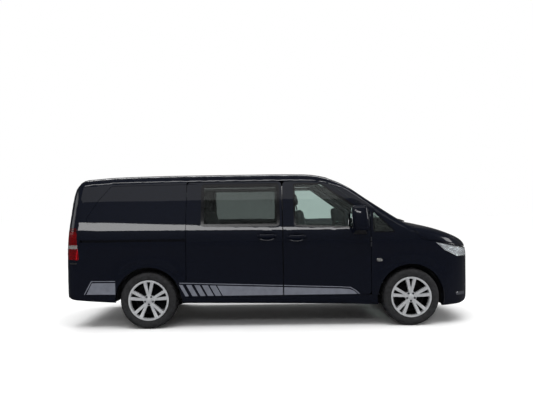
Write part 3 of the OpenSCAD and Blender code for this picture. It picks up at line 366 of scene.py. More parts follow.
def merged_copy(node):
    """A bmesh of a CAD node with its triangles joined."""
    bm = bmesh.new()
    bm.from_mesh(NODES[node].data)
    bmesh.ops.remove_doubles(bm, verts=bm.verts, dist=0.00005)
    bm.normal_update()
    return bm


def shown(name, bm, body, slot, *materials):
    """Ends a bmesh as a piece that moves with a body, with the given materials; the slot is not used."""
    mesh = bpy.data.meshes.new(name)
    bm.to_mesh(mesh)
    bm.free()
    obj = bpy.data.objects.new(name, mesh)
    bpy.context.scene.collection.objects.link(obj)
    for one in materials:
        mesh.materials.append(one)
    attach(obj, body)
    return obj


BODY_OF = {"door_left": "door_left", "door_right": "door_right", "door_glass_left": "door_left",
           "door_glass_right": "door_right", "bonnet": "bonnet", "tailgate": "tailgate",
           "tailgate_glass": "tailgate"}
SKIN_REACH = 0.016
SKIN_EDGE = 0.07
OUTWARD = 0.6
# Near the tailgate's hinge the panels keep the clearance of the CAD form
HINGE_CLEAR_X = -2.36
HINGE_CLEAR_Z = 1.69


def on_skin(face, side=1):
    """Whether a face follows the body's skin, outwards for side 1 and inwards for -1."""
    middle = face.calc_center_median()
    place, normal = skin_at(middle)
    if side * face.normal.dot(normal) < OUTWARD:
        return False
    return abs((middle - place).dot(normal)) < SKIN_REACH


def split_long(bm, faces_of, longest):
    """Halves the long edges of the skin's faces until they follow the curve closely."""
    for _ in range(6):
        edges = {e for f in faces_of() for e in f.edges if e.calc_length() > longest}
        if not edges:
            break
        bmesh.ops.subdivide_edges(bm, edges=list(edges), cuts=1)
        bmesh.ops.triangulate(bm, faces=[f for f in bm.faces if len(f.verts) > 4])


def smooth_onto_skin(groups, above=math.inf):
    """Moves vertices to their group's depth under the skin and returns the normals to shade them with.

    Behind HINGE_CLEAR_X, only those below a height are moved.
    """
    normals = {}
    for faces, depth, side in groups:
        for v in {v for f in faces for v in f.verts}:
            if v in normals:
                continue
            place, normal = skin_at(v.co)
            if v.co.z < above or v.co.x > HINGE_CLEAR_X:
                v.co = place - normal * depth
            normals[v] = normal * side
    return normals


def shade(obj, normals):
    """Gives the smoothed faces the skin's own normals, and keeps every other face flat."""
    mesh = obj.data
    mesh.polygons.foreach_set("use_smooth", [True] * len(mesh.polygons))
    custom = []
    for p in mesh.polygons:
        for i in p.vertices:
            found = normals.get(i)
            close = found is not None and found.dot(p.normal) > OUTWARD
            custom.append(found if close else p.normal.copy())
    mesh.normals_split_custom_set(custom)


FIELD_SHARES = [(-0.352, 0.66), (-0.352, 0.924), (-0.78, 0.918), (-0.84, 0.82), (-0.885, 0.72), (-0.897, 0.672)]
FIELD = [(x * HALF_L, z * BODY_HEIGHT) for x, z in FIELD_SHARES]
FIELD_DEPTH = 0.005
PANEL_DEPTH = 0.0001
# Hand dishes of the doors: place along and up, half length, half height, depth
DISHES = {"sliding_doors": (-0.073, 1.112, 0.135, 0.06, 0.014), "door_left": (0.287, 1.098, 0.135, 0.06, 0.014),
          "door_right": (0.287, 1.098, 0.135, 0.06, 0.014)}
DISH_EDGE = 0.014


def in_field(point):
    """Whether a point lies in the outline of the blanked window field, seen from the side."""
    inside = False
    for (x0, z0), (x1, z1) in zip(FIELD, FIELD[1:] + FIELD[:1]):
        if (z0 > point.z) != (z1 > point.z) and point.x < x0 + (x1 - x0) * (point.z - z0) / (z1 - z0):
            inside = not inside
    return inside


def dish_share(point, dish):
    """How far out in an oval dish a point lies, 0 in the middle and 1 at the rim."""
    return math.hypot((point.x - dish[0]) / dish[2], (point.z - dish[1]) / dish[3])


def press_dish(faces, dish, normals):
    """Presses the hand dish into a smoothed door and turns its shading to suit."""
    x, z, a, b, depth = dish
    for v in {v for f in faces for v in f.verts}:
        q = dish_share(v.co, dish) ** 2
        if q < 1:
            slope = -4 * depth * (1 - q)
            normal = normals[v]
            tilt = Vector((slope * (v.co.x - x) / a**2, 0, slope * (v.co.z - z) / b**2))
            normals[v] = (normal + tilt).normalized()
            v.co -= normal * (depth * (1 - q) ** 2)


def panel(node, slot, *materials, outside=0, inner=None, bands=()):
    """A body panel with its outer face smoothed onto the skin, in place of its CAD node."""
    bm = merged_copy(node)
    for low, high, _ in bands:
        for z in (low, high):
            bmesh.ops.bisect_plane(bm, geom=bm.verts[:] + bm.edges[:] + bm.faces[:], plane_co=(0, 0, z),
                                   plane_no=(0, 0, 1))
    layer = bm.faces.layers.int.new("on_skin")
    pressed = node in ("quarter_panels", "sliding_doors")
    for f in bm.faces:
        f[layer] = on_skin(f) * (2 if pressed and in_field(f.calc_center_median()) else 1)
    split_long(bm, lambda: [f for f in bm.faces if f[layer] > 0], SKIN_EDGE)
    dish = DISHES.get(node)
    if dish:
        split_long(bm, lambda: [f for f in bm.faces if f[layer] > 0
                                and dish_share(f.calc_center_median(), dish) < 1.2], DISH_EDGE)
    outer = [f for f in bm.faces if f[layer] == 1]
    field = [f for f in bm.faces if f[layer] == 2]
    above = HINGE_CLEAR_Z if node in ("tailgate", "quarter_panels") else math.inf
    normals = smooth_onto_skin([(outer, PANEL_DEPTH, 1), (field, FIELD_DEPTH, 1)], above)
    if dish:
        press_dish(outer, dish, normals)
    for f in outer:
        f.material_index = outside
    if inner is not None:
        for f in bm.faces:
            if f[layer] == 0 and f.normal.dot(skin_at(f.calc_center_median())[1]) < -OUTWARD:
                f.material_index = inner
    for low, high, index in bands:
        for f in bm.faces:
            if low < f.calc_center_median().z < high:
                f.material_index = index
    bm.verts.index_update()
    by_index = {v.index: n for v, n in normals.items()}
    obj = shown(node + "_panel", bm, BODY_OF.get(node, "body"), slot, *materials)
    shade(obj, by_index)
    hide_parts(node)


def pane(node, border, tint=None, narrow=None):
    """Panes of glass on the skin with a printed black border, narrow in front of a place, for their CAD node."""
    bm = merged_copy(node)
    layer = bm.faces.layers.int.new("on_skin")
    for f in bm.faces:
        f[layer] = 1 if on_skin(f) else (-1 if on_skin(f, -1) else 0)
    ahead = math.inf if narrow is None else narrow
    for wide in (True, False):
        outer = [f for f in bm.faces if f[layer] == 1 and (f.calc_center_median().x < ahead) == wide]
        ring = bmesh.ops.inset_region(bm, faces=outer, thickness=border if wide else border / 3, use_even_offset=True,
                                      use_boundary=True)["faces"]
        for f in ring:
            f[layer] = 1
            f.material_index = 1
    split_long(bm, lambda: [f for f in bm.faces if f[layer] != 0], SKIN_EDGE)
    outer = [f for f in bm.faces if f[layer] == 1]
    inward = [f for f in bm.faces if f[layer] == -1]
    normals = smooth_onto_skin([(outer, GLASS_INSET, 1), (inward, GLASS_INSET + GLASS_WALL, -1)])
    if tint is not None:
        for f in bm.faces:
            if f.material_index == 0 and f.calc_center_median().x < tint:
                f.material_index = 2
    bm.verts.index_update()
    by_index = {v.index: n for v, n in normals.items()}
    obj = shown(node + "_pane", bm, BODY_OF.get(node, "body"), "glass", CLEAR_GLASS, FRIT, PRIVACY_GLASS)
    shade(obj, by_index)
    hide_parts(node)


for name in ("roof", "quarter_panels", "wings", "windscreen_frame", "bonnet", "front_bumper", "rear_bumper"):
    panel(name, "paint", PAINT)
for name in ("sliding_doors", "door_left", "door_right", "tailgate"):
    panel(name, "paint", PAINT, LINING, inner=1)
pane("windscreen", 0.045)
pane("side_glass", 0.035, tint=0.1, narrow=1.0)
pane("door_glass_left", 0.022)
pane("door_glass_right", 0.022)
pane("tailgate_glass", 0.04, tint=math.inf)
panel("tail_lamps", "lamp_red", RED_LENS, LENS_WHITE, SMOKED_LENS, bands=[(0.985, 1.03, 1), (1.19, 1.3, 2)])

def smooth_by_angle(obj, degrees):
    """Smooth shading with sharp edges where faces meet more steeply."""
    obj.data.polygons.foreach_set("use_smooth", [True] * len(obj.data.polygons))
    obj.data.set_sharp_from_angle(angle=math.radians(degrees))


def rounded_edges(obj, width, degrees=32, segments=2):
    """Small rounds along the sharp edges, so that they catch the light."""
    soft = obj.modifiers.new("edge_round", "BEVEL")
    soft.width = width
    soft.segments = segments
    soft.limit_method = "ANGLE"
    soft.angle_limit = math.radians(degrees)


LENS_WALL = 0.004
HOUSING_DEPTH = 0.035
# Steps pressed into the bowl's larger facets: least area, border and depth
STEP_AREA = 0.0004
STEP_BORDER = 0.003
STEP_DEPTH = 0.004


def headlamps():
    """Two lamps, each a thin clear lens over a bright stepped bowl, in place of the CAD node."""
    bm = merged_copy("headlamps")
    bmesh.ops.delete(bm, geom=[f for f in bm.faces if not on_skin(f)], context="FACES")
    split_long(bm, lambda: bm.faces[:], SKIN_EDGE / 2)
    bowl = bm.copy()
    normals = smooth_onto_skin([(bm.faces[:], 0.0, 1)])
    copied = bmesh.ops.duplicate(bm, geom=bm.faces[:])["geom"]
    back = [g for g in copied if isinstance(g, bmesh.types.BMFace)]
    smooth_onto_skin([(back, LENS_WALL, -1)])
    bmesh.ops.reverse_faces(bm, faces=back)
    open_edges = [e for e in bm.edges if e.is_boundary]
    bmesh.ops.bridge_loops(bm, edges=[e for e in open_edges if e.verts[0].co.y > 0])
    bmesh.ops.bridge_loops(bm, edges=[e for e in open_edges if e.verts[0].co.y < 0])
    bm.verts.index_update()
    by_index = {v.index: n for v, n in normals.items()}
    obj = shown("headlamp_lenses", bm, "body", "lamp_clear", CLEAR_LENS)
    shade(obj, by_index)
    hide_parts("headlamps")
    smooth_onto_skin([(bowl.faces[:], LENS_WALL, 1)])
    rim_edges = [e for e in bowl.edges if e.is_boundary]
    walls = bmesh.ops.extrude_edge_only(bowl, edges=rim_edges)["geom"]
    moved = {v for v in walls if isinstance(v, bmesh.types.BMVert)}
    bmesh.ops.inset_individual(bowl, faces=[f for f in bowl.faces if f.calc_area() > STEP_AREA],
                               thickness=STEP_BORDER, depth=-STEP_DEPTH)
    for v in moved:
        v.co -= skin_at(v.co)[1] * HOUSING_DEPTH
    bmesh.ops.translate(bowl, verts=[v for v in bowl.verts if v not in moved], vec=(-HOUSING_DEPTH * 0.8, 0, 0))
    obj = shown("headlamp_bowls", bowl, "body", "lamp_clear", REFLECTOR)
    smooth_by_angle(obj, 30)


headlamps()


def side_point(x, z, side):
    """The skin's point and normal at a place in side view."""
    return skin_at(SKIN_TREE.ray_cast(Vector((x, side * 2, z)), Vector((0, -side, 0)))[0])


def pebble(name, place, size, body, slot, made, side, lift=0.0, bow=0.0, power=4):
    """A rounded piece of length, thickness and height on the skin at a place in side view, its ends bowed in."""
    bm = bmesh.new()
    bmesh.ops.create_cube(bm, size=2)
    bmesh.ops.subdivide_edges(bm, edges=bm.edges[:], cuts=9, use_grid_fill=True)
    for v in bm.verts:
        u = v.co / sum(abs(c) ** power for c in v.co) ** (1 / power)
        point, normal = side_point(place[0] + u.x * size[0] / 2, place[1] + u.z * size[2] / 2, side)
        v.co = point + normal * (lift + u.y * size[1] / 2 - bow * u.x**4)
    bmesh.ops.recalc_face_normals(bm, faces=bm.faces)
    smooth_by_angle(shown(name, bm, body, slot, made), 60)


for side, hand in ((1, "left"), (-1, "right")):
    for node, body in (("sliding_doors", "body"), ("door_" + hand, "door_" + hand)):
        pebble(f"{node}_grip_{hand}", DISHES[node][:2], (0.236, 0.03, 0.037), body, "paint", PAINT, side,
               0.024, 0.016, 5)
    pebble(f"side_repeater_{hand}", (1.292, 0.805), (0.068, 0.012, 0.039), "body", "lamp_clear", LENS_WHITE, side,
           0.002, 0.0, 2.4)
    pebble(f"bumper_strip_{hand}", (2.32, 0.368), (0.14, 0.016, 0.046), "body", "alloy", CHROME, side, 0.003)
    pebble(f"tail_step_{hand}", (-2.44, 0.806), (0.09, 0.012, 0.018), "body", "black_trim", TRIM, side, 0.001)


def rounded_node(node, body, slot, width, *materials, pick=None):
    """A CAD node with softened edges, in place of the node. The pick gives a face's material."""
    bm = merged_copy(node)
    bmesh.ops.dissolve_limit(bm, angle_limit=math.radians(1), verts=bm.verts, edges=bm.edges)
    if pick:
        for f in bm.faces:
            f.material_index = pick(f)
    obj = shown(node + "_rounded", bm, body, slot, *materials)
    smooth_by_angle(obj, 30)
    rounded_edges(obj, width)
    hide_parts(node)


INTAKE_HALF_W = 0.545
INTAKE_Z = 0.411
INTAKE_HALF_H = 0.072
INTAKE_DEPTH = 0.05
INTAKE_WALL = 0.003


def intake_backing():
    """An upright black plate set into the lower intake, which follows the curve of the nose."""
    bm = bmesh.new()
    bmesh.ops.create_grid(bm, x_segments=36, y_segments=4, size=1)
    for v in bm.verts:
        y, z = v.co.x * INTAKE_HALF_W, INTAKE_Z + v.co.y * INTAKE_HALF_H
        place = SKIN_TREE.ray_cast(Vector((HALF_L + 1, y, INTAKE_Z + INTAKE_HALF_H)), Vector((-1, 0, 0)))[0]
        v.co = (place.x - INTAKE_DEPTH, y, z)
    bmesh.ops.solidify(bm, geom=bm.faces[:], thickness=INTAKE_WALL)
    bmesh.ops.recalc_face_normals(bm, faces=bm.faces)
    smooth_by_angle(shown("intake_backing", bm, "body", "black_trim", TRIM), 40)


intake_backing()


# Mirrors with painted caps, black feet and glass towards the driver
MIRROR_FOOT_Z = 1.17
for hand in ("left", "right"):
    rounded_node("mirror_" + hand, "door_" + hand, "black_trim", 0.01, PAINT, TRIM, MIRROR_GLASS,
                 pick=lambda f: 1 if f.calc_center_median().z < MIRROR_FOOT_Z else (2 if f.normal.x < -0.97 else 0))


REAR_LINER_LOW = 0.33


def wheel_liners():
    """The arch liners, with the rear pair trimmed level with the bumper's foot, in place of their CAD node."""
    bm = merged_copy("wheel_liners")
    rear = [f for f in bm.faces if f.calc_center_median().x < 0]
    parts = {p for f in rear for p in (f, *f.verts, *f.edges)}
    bmesh.ops.bisect_plane(bm, geom=list(parts), plane_co=(0, 0, REAR_LINER_LOW), plane_no=(0, 0, -1),
                           clear_outer=True)
    bmesh.ops.holes_fill(bm, edges=[e for e in bm.edges if e.is_boundary])
    obj = shown("wheel_liners_trimmed", bm, "body", "black_trim", UNDERBODY)
    smooth_by_angle(obj, 30)
    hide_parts("wheel_liners")


wheel_liners()


def finish_node(node, made):
    """A CAD node keeps its shape and takes a finished material."""
    for one in NODES[node].material_slots:
        one.material = made


panel("platform", "steel", UNDERBODY, PAINT, outside=1)
for name, made in (("b_pillars", GLOSS_BLACK), ("grille", GLOSS_BLACK),
                   ("bulkhead", LINING), ("dashboard", DASH), ("engine", CAST_IRON),
                   ("front_subframe", STEEL), ("rear_axle", STEEL), ("fuel_tank", UNDERBODY), ("exhaust", STEEL),
                   ("hinge_pins", STEEL), ("wipers", TRIM), ("load_board", PLYWOOD),
                   ("steering_wheel", DASH), ("knuckle_left", CAST_IRON), ("knuckle_right", CAST_IRON)):
    finish_node(name, made)


# Seats: padded cloth over moulded bases
SEAT_Z = 0.5203
BASE_H = 0.26
CUSHION = (0.5, 0.15)
BACK = (0.12, 0.62)
REST_H = 0.18
BACK_LEAN = math.radians(-14)
CORNER_R = 0.045
SLACK = 0.014
SWELL_LIMIT = 0.022
SEAM_DEPTH = 0.006
SEAM_W = 0.016
CLOTH_FRAMES = 20


def soft_block(size, voxel):
    """A stuffed pad of depth, width and height about its middle: a smaller block blown up as cloth."""
    bm = bmesh.new()
    bmesh.ops.create_cube(bm, size=1)
    bmesh.ops.scale(bm, vec=[s - 2 * SLACK for s in size], verts=bm.verts)
    bmesh.ops.bevel(bm, geom=bm.edges[:], offset=min(CORNER_R, min(size) * 0.3), segments=4, profile=0.5,
                    affect="EDGES", material=-1)
    mesh = bpy.data.meshes.new("pad_start")
    bm.to_mesh(mesh)
    bm.free()
    obj = bpy.data.objects.new("pad_start", mesh)
    scene = bpy.context.scene
    scene.collection.objects.link(obj)
    remesh = obj.modifiers.new("even_cells", "REMESH")
    remesh.mode = "VOXEL"
    remesh.voxel_size = voxel
    even = bpy.data.meshes.new_from_object(obj.evaluated_get(bpy.context.evaluated_depsgraph_get()))
    obj.modifiers.clear()
    obj.data = even
    starts = [v.co.copy() for v in even.vertices]
    blown = obj.modifiers.new("stuffing", "CLOTH")
    blown.settings.quality = 4
    blown.settings.use_pressure = True
    blown.settings.uniform_pressure_force = 4
    blown.settings.effector_weights.gravity = 0
    blown.point_cache.frame_end = CLOTH_FRAMES
    for frame_number in range(1, CLOTH_FRAMES + 1):
        scene.frame_set(frame_number)
    settled = obj.evaluated_get(bpy.context.evaluated_depsgraph_get()).data
    ends = [v.co.copy() for v in settled.vertices]
    obj.modifiers.clear()
    scene.frame_set(1)
    for v, a, b in zip(even.vertices, starts, ends):
        way = b - a
        if way.length > SWELL_LIMIT:
            way *= SWELL_LIMIT / way.length
        v.co = [min(max(c, -s / 2), s / 2) for c, s in zip(a + way, size)]
    bm = bmesh.new()
    bm.from_mesh(even)
    bpy.data.objects.remove(obj)
    return bm


def sewn(bm, ys, axis):
    """Presses sewn channels into the front of a pad, at distances across it."""
    face = max(v.co[axis] for v in bm.verts)
    for v in bm.verts:
        if v.co[axis] > face * 0.6:
            near = min(abs(v.co.y - y) for y in ys) / SEAM_W
            v.co[axis] -= SEAM_DEPTH * math.exp(-near**2 * 4)


def seat_place(x, y):
    """The place of a seat's corner on the floor, and of the foot of its back."""
    foot = Matrix.Translation((x, y, SEAT_Z))
    back = foot @ Matrix.Translation((CORNER_R, 0, BASE_H + CUSHION[1] / 2)) @ Matrix.Rotation(BACK_LEAN, 4, "Y")
    return foot, back @ Matrix.Translation((-BACK[0] / 2, 0, 0))


def soft_piece(name, bm, place):
    """Ends a pad as a padded cloth piece."""
    bmesh.ops.transform(bm, matrix=place, verts=bm.verts)
    obj = shown(name, bm, "body", "cloth", CLOTH)
    obj.data.polygons.foreach_set("use_smooth", [True] * len(obj.data.polygons))
    finer = obj.modifiers.new("fine", "SUBSURF")
    finer.levels = finer.render_levels = 1
    return obj


def hard_piece(name, size, middle, place, slot, made, soft):
    """A moulded block with rounded edges."""
    bm = bmesh.new()
    bmesh.ops.create_cube(bm, size=1)
    bmesh.ops.scale(bm, vec=size, verts=bm.verts)
    bmesh.ops.translate(bm, vec=middle, verts=bm.verts)
    bmesh.ops.transform(bm, matrix=place, verts=bm.verts)
    obj = shown(name, bm, "body", slot, made)
    smooth_by_angle(obj, 30)
    rounded_edges(obj, soft, segments=3)


def seats(node, width, places, rests, channels, voxel):
    """Every seat of a node: cushion, back and headrests of padded cloth on a base and steel posts."""
    cushion = soft_block((CUSHION[0], width, CUSHION[1]), voxel)
    sewn(cushion, channels, 2)
    back = soft_block((BACK[0], width, BACK[1]), voxel)
    sewn(back, channels, 0)
    rest = soft_block((BACK[0] * 0.8, width / len(rests) * 0.5, REST_H), voxel * 0.7)
    for i, (x, y) in enumerate(places):
        foot, lean = seat_place(x, y)
        first = soft_piece(f"{node}_cushion_{i}", cushion.copy(),
                           foot @ Matrix.Translation((CUSHION[0] / 2, 0, BASE_H + CUSHION[1] / 2)))
        if i == 0:
            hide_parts(node)
        soft_piece(f"{node}_back_{i}", back.copy(), lean @ Matrix.Translation((BACK[0] / 2, 0, BACK[1] / 2)))
        hard_piece(f"{node}_base_{i}", (0.38, width * 0.8, BASE_H), (0.25, 0, BASE_H / 2), foot,
                   "black_trim", TRIM, 0.012)
        for k, across in enumerate(rests):
            soft_piece(f"{node}_rest_{i}_{k}", rest.copy(),
                       lean @ Matrix.Translation((BACK[0] / 2, across, BACK[1] + 0.02 + REST_H / 2)))
            hard_piece(f"{node}_post_{i}_{k}", (0.016, 0.016, 0.08), (BACK[0] / 2, across, BACK[1] + 0.01), lean,
                       "steel", STEEL, 0.004)
    for one in (cushion, back, rest):
        one.free()


BENCH_W = HALF_W * 1.56
seats("front_seats", 0.5, [(0.424284, 0.40488), (0.424284, -0.40488)], [0], [-0.13, 0.13], 0.012)
seats("rear_bench", BENCH_W, [(-0.796716, 0)], [-BENCH_W / 3, 0, BENCH_W / 3],
      [-0.5, -BENCH_W / 6, 0, BENCH_W / 6, 0.5], 0.014)


# Wheels
WHEELS = {f"{end}_{side}": (x, y) for end, x in (("front", FRONT_AXLE_X), ("rear", REAR_AXLE_X))
          for side, y in (("left", TRACK / 2), ("right", -TRACK / 2))}
TYRE_STEPS = 120
# Half of the tyre's section, outer bead to the middle of the tread: radius and distance from the wheel's plane
TYRE_SECTION = [(0.2345, 0.1025), (0.2468, 0.1028), (0.2525, 0.107), (0.2576, 0.1085), (0.2617, 0.1125),
                (0.2699, 0.1165), (0.2782, 0.1172), (0.2797, 0.1195), (0.2905, 0.1215), (0.3028, 0.1222),
                (0.3131, 0.1205), (0.3146, 0.1185), (0.3239, 0.1145), (0.3321, 0.1085), (0.3383, 0.1),
                (0.3424, 0.088), (0.3441, 0.074), (0.3444, 0.0705), (0.3372, 0.07), (0.3372, 0.062),
                (0.3452, 0.0615), (0.346, 0.046), (0.3464, 0.0325), (0.3383, 0.032), (0.3383, 0.0235),
                (0.3468, 0.023), (0.3469, 0.0)]
SIPE_DEPTH = 0.0055


def placed_wheel(bm, key):
    """Turns a wheel piece, made about the Y axis with its outer face to +Y, into its place."""
    x, y = WHEELS[key]
    if y < 0:
        bmesh.ops.rotate(bm, verts=bm.verts, cent=(0, 0, 0), matrix=Matrix.Rotation(math.pi, 3, "Z"))
    bmesh.ops.translate(bm, verts=bm.verts, vec=(x, y, AXLE_Z))


def spun(section, steps):
    """A section of (radius, y) points spun about the Y axis into a closed ring."""
    bm = bmesh.new()
    points = [bm.verts.new((r, y, 0)) for r, y in section]
    edges = [bm.edges.new(pair) for pair in zip(points, points[1:])]
    bmesh.ops.spin(bm, geom=points + edges, cent=(0, 0, 0), axis=(0, 1, 0), angle=2 * math.pi, steps=steps,
                   use_merge=True)
    bmesh.ops.remove_doubles(bm, verts=bm.verts, dist=0.00005)
    bmesh.ops.recalc_face_normals(bm, faces=bm.faces)
    return bm


def step_of(face):
    """Which step of the spin a face lies in."""
    middle = face.calc_center_median()
    return int((math.atan2(middle.z, middle.x) % (2 * math.pi)) / (2 * math.pi) * TYRE_STEPS)


def sink(bm, faces, depth):
    """Presses single faces towards the wheel's axis."""
    made = bmesh.ops.extrude_discrete_faces(bm, faces=faces)["faces"]
    for f in made:
        for v in f.verts:
            out = Vector((v.co.x, 0, v.co.z))
            v.co -= out.normalized() * depth


def tyre(key):
    """A road tyre: four grooves round the tread, cross sipes, open shoulder blocks and ridged side walls."""
    bm = spun(TYRE_SECTION + [(r, -y) for r, y in TYRE_SECTION[-2::-1]], TYRE_STEPS)
    shoulders, ribs = [], []
    for f in bm.faces:
        middle = f.calc_center_median()
        r = math.hypot(middle.x, middle.z)
        if 0.3352 < r and abs(middle.y) > 0.078 and step_of(f) % 3 == 0:
            shoulders.append(f)
        elif r > 0.344 and abs(middle.y) < 0.066 and step_of(f) % 4 == (0 if middle.y > 0 else 2):
            ribs.append(f)
    sink(bm, shoulders, SIPE_DEPTH)
    sink(bm, ribs, SIPE_DEPTH * 0.7)
    placed_wheel(bm, key)
    obj = shown("tyre_tread_" + key, bm, "wheel_" + key, "tyre", RUBBER)
    smooth_by_angle(obj, 28)
    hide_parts("tyre_" + key)


SPOKE_BACK_Y = 0.052
HUB_FACE_Y = 0.086
BOLT_RING_R = 0.05
BOLT_COUNT = 5


def rim(key):
    """A cast rim with twin spokes, its edges rounded, and a barrel behind them painted near-black as shade."""
    bm = merged_copy("rim_" + key)
    bmesh.ops.dissolve_limit(bm, angle_limit=math.radians(1), verts=bm.verts, edges=bm.edges)
    y = WHEELS[key][1]
    for f in bm.faces:
        middle = f.calc_center_median()
        out = (middle.y - y) * (1 if y > 0 else -1)
        # faces behind the spokes' back take the painted shade
        f.material_index = 1 if out < SPOKE_BACK_Y else 0
    obj = shown("rim_spokes_" + key, bm, "wheel_" + key, "alloy", ALLOY, SHADED_BARREL_ALLOY)
    smooth_by_angle(obj, 30)
    rounded_edges(obj, 0.0022)
    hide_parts("rim_" + key)


def hub_trim(key):
    """A plain centre cap and five wheel bolts in their seats."""
    cap = spun([(0.0001, HUB_FACE_Y + 0.0085), (0.02, HUB_FACE_Y + 0.0078), (0.03, HUB_FACE_Y + 0.006),
                (0.0335, HUB_FACE_Y + 0.003), (0.0345, HUB_FACE_Y - 0.001)], 40)
    placed_wheel(cap, key)
    obj = shown("centre_cap_" + key, cap, "wheel_" + key, "alloy", ALLOY)
    smooth_by_angle(obj, 40)
    bolts = bmesh.new()
    for i in range(BOLT_COUNT):
        turn = Matrix.Rotation(2 * math.pi * (i + 0.5) / BOLT_COUNT, 4, "Y")
        place = Matrix.Translation((0, HUB_FACE_Y + 0.003, BOLT_RING_R)) @ Matrix.Rotation(math.pi / 2, 4, "X")
        bmesh.ops.create_cone(bolts, cap_ends=True, segments=6, radius1=0.0098, radius2=0.0098, depth=0.014,
                              matrix=turn @ place)
        bmesh.ops.create_cone(bolts, cap_ends=True, segments=20, radius1=0.0125, radius2=0.0125, depth=0.006,
                              matrix=turn @ place)
    placed_wheel(bolts, key)
    obj = shown("wheel_bolts_" + key, bolts, "wheel_" + key, "steel", STEEL)
    smooth_by_angle(obj, 30)
    rounded_edges(obj, 0.0008)


def dust_shield(key):
    """A pressed plate inboard of the brake disc, held by the hub carrier."""
    plate = spun([(0.062, -0.058), (0.12, -0.06), (0.165, -0.052), (0.196, -0.052), (0.2, -0.046), (0.2, -0.043),
                  (0.196, -0.049), (0.165, -0.049), (0.12, -0.057), (0.062, -0.055), (0.062, -0.058)], 64)
    placed_wheel(plate, key)
    end, hand = key.split("_")
    obj = shown("dust_shield_" + key, plate, "knuckle_" + hand if end == "front" else "body", "steel", UNDERBODY)
    smooth_by_angle(obj, 40)


# Sections of the lip, by radius and distance outboard; the rear one has the wheel house's inner wall
FLANGE = {"front": [(0.4095, -0.02), (0.4095, 0.082), (0.4125, 0.082), (0.4125, -0.02), (0.4095, -0.02)],
          "rear": [(0.2, -0.13), (0.4095, -0.13), (0.4095, 0.082), (0.4125, 0.082), (0.4125, -0.133), (0.2, -0.133),
                   (0.2, -0.13)]}
FLANGE_LOW = {"front": -0.09, "rear": -0.015}


def arch_flange(key):
    """The lip of the inner wing, which closes the wheel arch between its liner and the outer panel."""
    end = key.split("_")[0]
    band = spun(FLANGE[end], 72)
    bmesh.ops.bisect_plane(band, geom=band.verts[:] + band.edges[:] + band.faces[:], plane_co=(0, 0, FLANGE_LOW[end]),
                           plane_no=(0, 0, -1), clear_outer=True)
    bmesh.ops.holes_fill(band, edges=[e for e in band.edges if e.is_boundary])
    placed_wheel(band, key)
    obj = shown("arch_flange_" + key, band, "body", "black_trim", UNDERBODY)
    smooth_by_angle(obj, 40)


for key in WHEELS:
    tyre(key)
    arch_flange(key)
    dust_shield(key)
    rim(key)
    hub_trim(key)


# Grey film stripes low on the sides
FILM = 0.0006
FILM_EDGE = 0.045


def film(name, outline, body, side):
    """A flat outline in side view, laid on the skin of one side as thin film."""
    bm = bmesh.new()
    corners = [bm.verts.new((x, 0, z)) for x, z in outline]
    bm.faces.new(corners)
    bmesh.ops.triangulate(bm, faces=bm.faces)
    for _ in range(6):
        long_edges = [e for e in bm.edges if e.calc_length() > FILM_EDGE]
        if not long_edges:
            break
        bmesh.ops.subdivide_edges(bm, edges=long_edges, cuts=1)
        bmesh.ops.triangulate(bm, faces=bm.faces)
    normals = []
    for v in bm.verts:
        place = SKIN_TREE.ray_cast(Vector((v.co.x, side * 2, v.co.z)), Vector((0, -side, 0)))[0]
        normal = skin_at(place)[1]
        v.co = place + normal * FILM
        normals.append(normal)
    bm.normal_update()
    for f in bm.faces:
        if f.normal.y * side < 0:
            f.normal_flip()
    obj = shown(name, bm, body, "paint", VINYL)
    obj.data.polygons.foreach_set("use_smooth", [True] * len(obj.data.polygons))
    obj.data.normals_split_custom_set_from_vertices(normals)


BAND_REAR = (-1.04, 0.532)
BAND_FRONT = (0.86, 0.462)
BAND_LOW = 0.394
SLASH_LEAN = 0.55
SLASHES = [(-1.03, 0.042), (-0.925, 0.034), (-0.828, 0.027), (-0.728, 0.02), (-0.634, 0.014)]
LINE_GAP = 0.016
LINE_W = 0.009
# Where the stripes stop on either side of the shut line behind the front door
SHUT_REAR = 0.1115
SHUT_FRONT = 0.128


def band_top(x):
    """Height of the band's upper edge."""
    share = (x - BAND_REAR[0]) / (BAND_FRONT[0] - BAND_REAR[0])
    return BAND_REAR[1] + (BAND_FRONT[1] - BAND_REAR[1]) * share


def leaning(x):
    """Upper and lower end of a slanted edge through x at the band's foot."""
    up = band_top(x) - BAND_LOW
    return (x - SLASH_LEAN * up, band_top(x - SLASH_LEAN * up)), (x, BAND_LOW)


